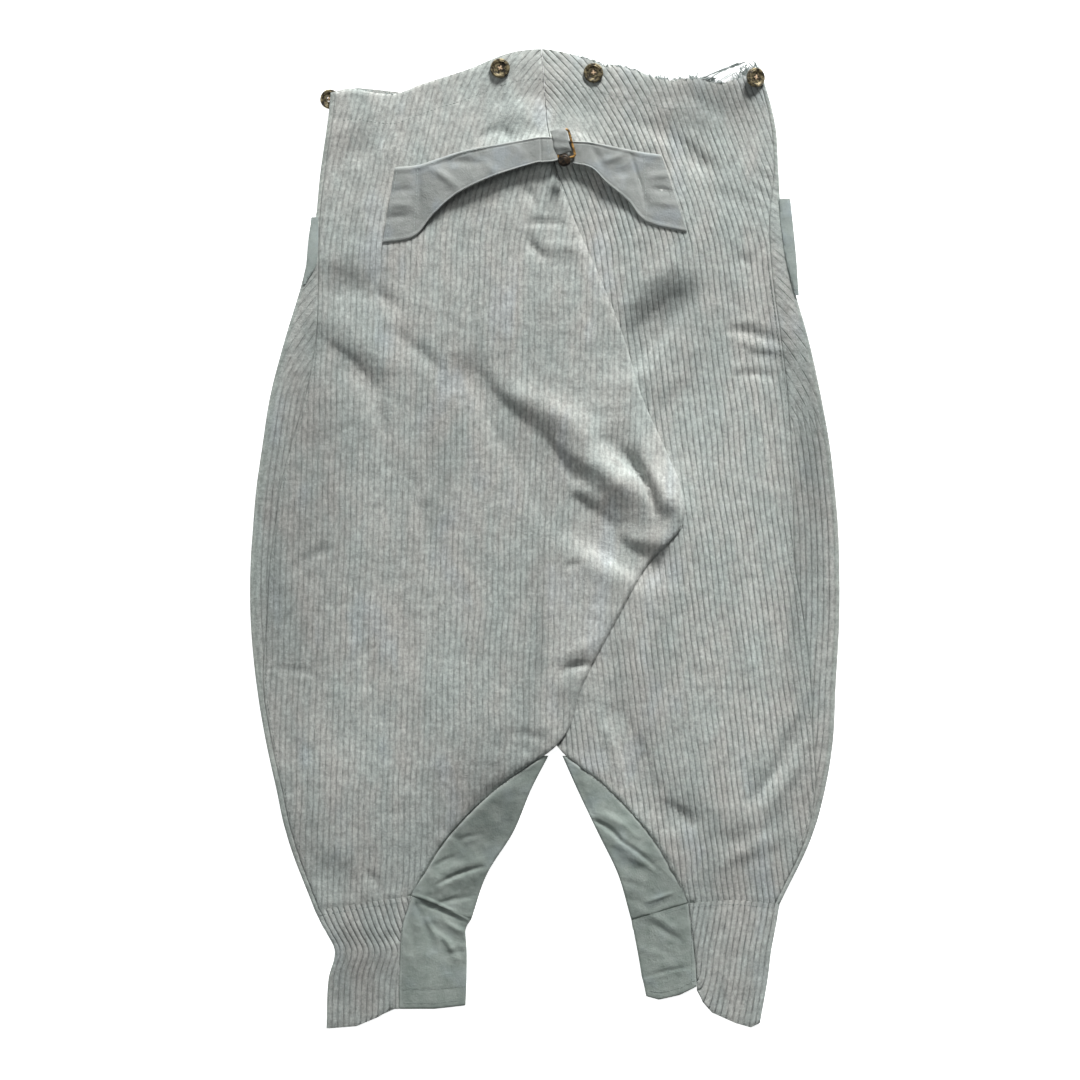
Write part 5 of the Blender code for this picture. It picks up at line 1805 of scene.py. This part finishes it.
class OBJECT_OT_breeches_fraying(bpy.types.Operator):
    """Pulls loose threads out of the raw waist edge"""

    bl_idname = "object.breeches_fraying"
    bl_label = "Frayed threads"

    def execute(self, context):
        longest = context.scene.breeches_fittings.fray_length / MM
        rng = np.random.default_rng(14)
        lines = []
        for tuft in TUFTS:
            for _ in range(tuft.number):
                x = tuft.x + rng.normal(0.0, tuft.spread)
                reach = min(tuft.longest * rng.uniform(0.35, 1.0), longest)
                lean = rng.normal(0.1, 0.55)
                lines.append(self.thread(rng, x, reach, lean))
        for x in np.arange(22.0, 182.0, 1.1):
            lines.append(self.thread(rng, x, rng.uniform(0.8, 2.6), rng.normal(0.0, 0.6)))
        for start, end_x, end_y, sag in LONG_THREADS:
            start_y = float(frayed_waist(np.array([float(start)]))[0])
            points = []
            for t in np.linspace(0.0, 1.0, 12):
                x = start + (end_x - start) * t
                y = start_y + (end_y - start_y) * t + sag * math.sin(math.pi * t)
                points.append((x, y, 4.5 + 1.2 * math.sin(2.5 * math.pi * t)))
            lines.append(points)
        lines = [[(x * MM, y * MM, z * MM) for x, y, z in points] for points in lines]
        fray = round_strands("frayed_threads", lines, FRAY_RADIUS, 0, False)
        finish_piece(fray, "frayed_threads", material_for("fray"))
        return {"FINISHED"}

    def thread(self, rng, x, reach, lean):
        """One loose thread that starts in the cloth's edge and curls off it."""
        y = float(frayed_waist(np.array([x]))[0]) - 1.0
        z = float(cords_top(np.array([x]), np.array([y]))[0]) - rng.uniform(0.6, 1.8)
        points = [(x, y, z)]
        heading = lean
        for _ in range(5):
            heading += rng.normal(0.0, 0.35)
            step = (reach + 1.0) / 5
            x, y = x + step * math.sin(heading), y + step * math.cos(heading)
            z = max(0.4, z + rng.normal(-0.25, 0.35))
            points.append((x, y, z))
        return points


class OBJECT_OT_breeches_stage(bpy.types.Operator):
    """Lays the paper floor, hangs the soft lights and sets the camera overhead"""

    bl_idname = "object.breeches_stage"
    bl_label = "Stage"

    def execute(self, context):
        stage = context.scene.breeches_stage
        deselect()
        bpy.ops.mesh.primitive_plane_add(size=stage.floor_size, location=(0, 0, -0.0003))
        floor = bpy.context.object
        settle(floor)
        floor.name = "floor"
        floor.data.materials.append(material_for("floor"))
        floor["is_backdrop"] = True

        aim = Vector((0.0, 0.0, 0.0))
        for name, place, size, power in (
                ("key", (1.20, 4.50, 2.15), 1.2, stage.key_power),
                ("side", (-2.2, 0.6, 2.3), 1.8, stage.key_power * 0.05)):
            deselect()
            bpy.ops.object.light_add(type="AREA", location=place)
            lamp = bpy.context.object
            lamp.name = f"{name}_light"
            lamp.data.shape = "DISK"
            lamp.data.size = size
            lamp.data.energy = power
            lamp.rotation_euler = (aim - Vector(place)).to_track_quat("-Z", "Y").to_euler()
        world = bpy.data.worlds.new("Soft room")
        world.use_nodes = True
        background = world.node_tree.nodes["Background"]
        background.inputs["Color"].default_value = linear("f4f7fa")
        background.inputs["Strength"].default_value = stage.fill_strength
        context.scene.world = world
        context.scene.view_settings.view_transform = "Standard"

        deselect()
        bpy.ops.object.camera_add(location=(-0.00435, -0.0004, stage.camera_height),
                                  rotation=(0.0, 0.0, 0.0))
        camera = bpy.context.object
        camera.name = "overhead_camera"
        camera.data.sensor_width = 36.0
        camera.data.lens = camera.data.sensor_width * stage.camera_height / stage.framed_width
        camera.data.clip_end = 100.0
        context.scene.camera = camera
        return {"FINISHED"}


OPERATORS = (
    OBJECT_OT_breeches_stage, OBJECT_OT_breeches_backs, OBJECT_OT_breeches_fronts,
    OBJECT_OT_breeches_legs, OBJECT_OT_breeches_facings, OBJECT_OT_breeches_straps,
    OBJECT_OT_breeches_buckle, OBJECT_OT_breeches_buttons, OBJECT_OT_breeches_sewing,
    OBJECT_OT_breeches_strap_sewing, OBJECT_OT_breeches_fraying,
)


class VIEW3D_PT_breeches(bpy.types.Panel):
    """Lists the breeches' settings and the steps that make them"""

    bl_idname = "VIEW3D_PT_breeches"
    bl_label = "Knee breeches"
    bl_space_type = "VIEW_3D"
    bl_region_type = "UI"
    bl_category = "Breeches"

    def draw(self, context):
        for group in ("breeches_cloth", "breeches_fittings", "breeches_stage"):
            settings = getattr(context.scene, group)
            for name in settings.bl_rna.properties.keys():
                if name not in {"rna_type", "name"}:
                    self.layout.prop(settings, name)
        for operator in OPERATORS:
            self.layout.operator(operator.bl_idname)


GROUPS = (("breeches_cloth", BreechesCloth), ("breeches_fittings", BreechesFittings),
          ("breeches_stage", BreechesStage))


def register():
    """Makes the settings, steps and panel known to Blender."""
    for name, group in GROUPS:
        bpy.utils.register_class(group)
        setattr(bpy.types.Scene, name, PointerProperty(type=group))
    for operator in OPERATORS:
        bpy.utils.register_class(operator)
    bpy.utils.register_class(VIEW3D_PT_breeches)


def unregister():
    """Takes them away again."""
    bpy.utils.unregister_class(VIEW3D_PT_breeches)
    for operator in reversed(OPERATORS):
        bpy.utils.unregister_class(operator)
    for name, group in reversed(GROUPS):
        delattr(bpy.types.Scene, name)
        bpy.utils.unregister_class(group)


def main():
    """Makes everything in order and works out both boxes."""
    register()
    bpy.ops.object.breeches_stage()
    bpy.ops.object.breeches_backs()
    bpy.ops.object.breeches_fronts()
    bpy.ops.object.breeches_legs()
    bpy.ops.object.breeches_facings()
    bpy.ops.object.breeches_straps()
    bpy.ops.object.breeches_buckle()
    bpy.ops.object.breeches_buttons()
    bpy.ops.object.breeches_sewing()
    bpy.ops.object.breeches_strap_sewing()
    bpy.ops.object.breeches_fraying()
    boxes = [[list(corner) for corner in box] for box in (CAD_BOX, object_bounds())]


if __name__ == "__main__":
    main()
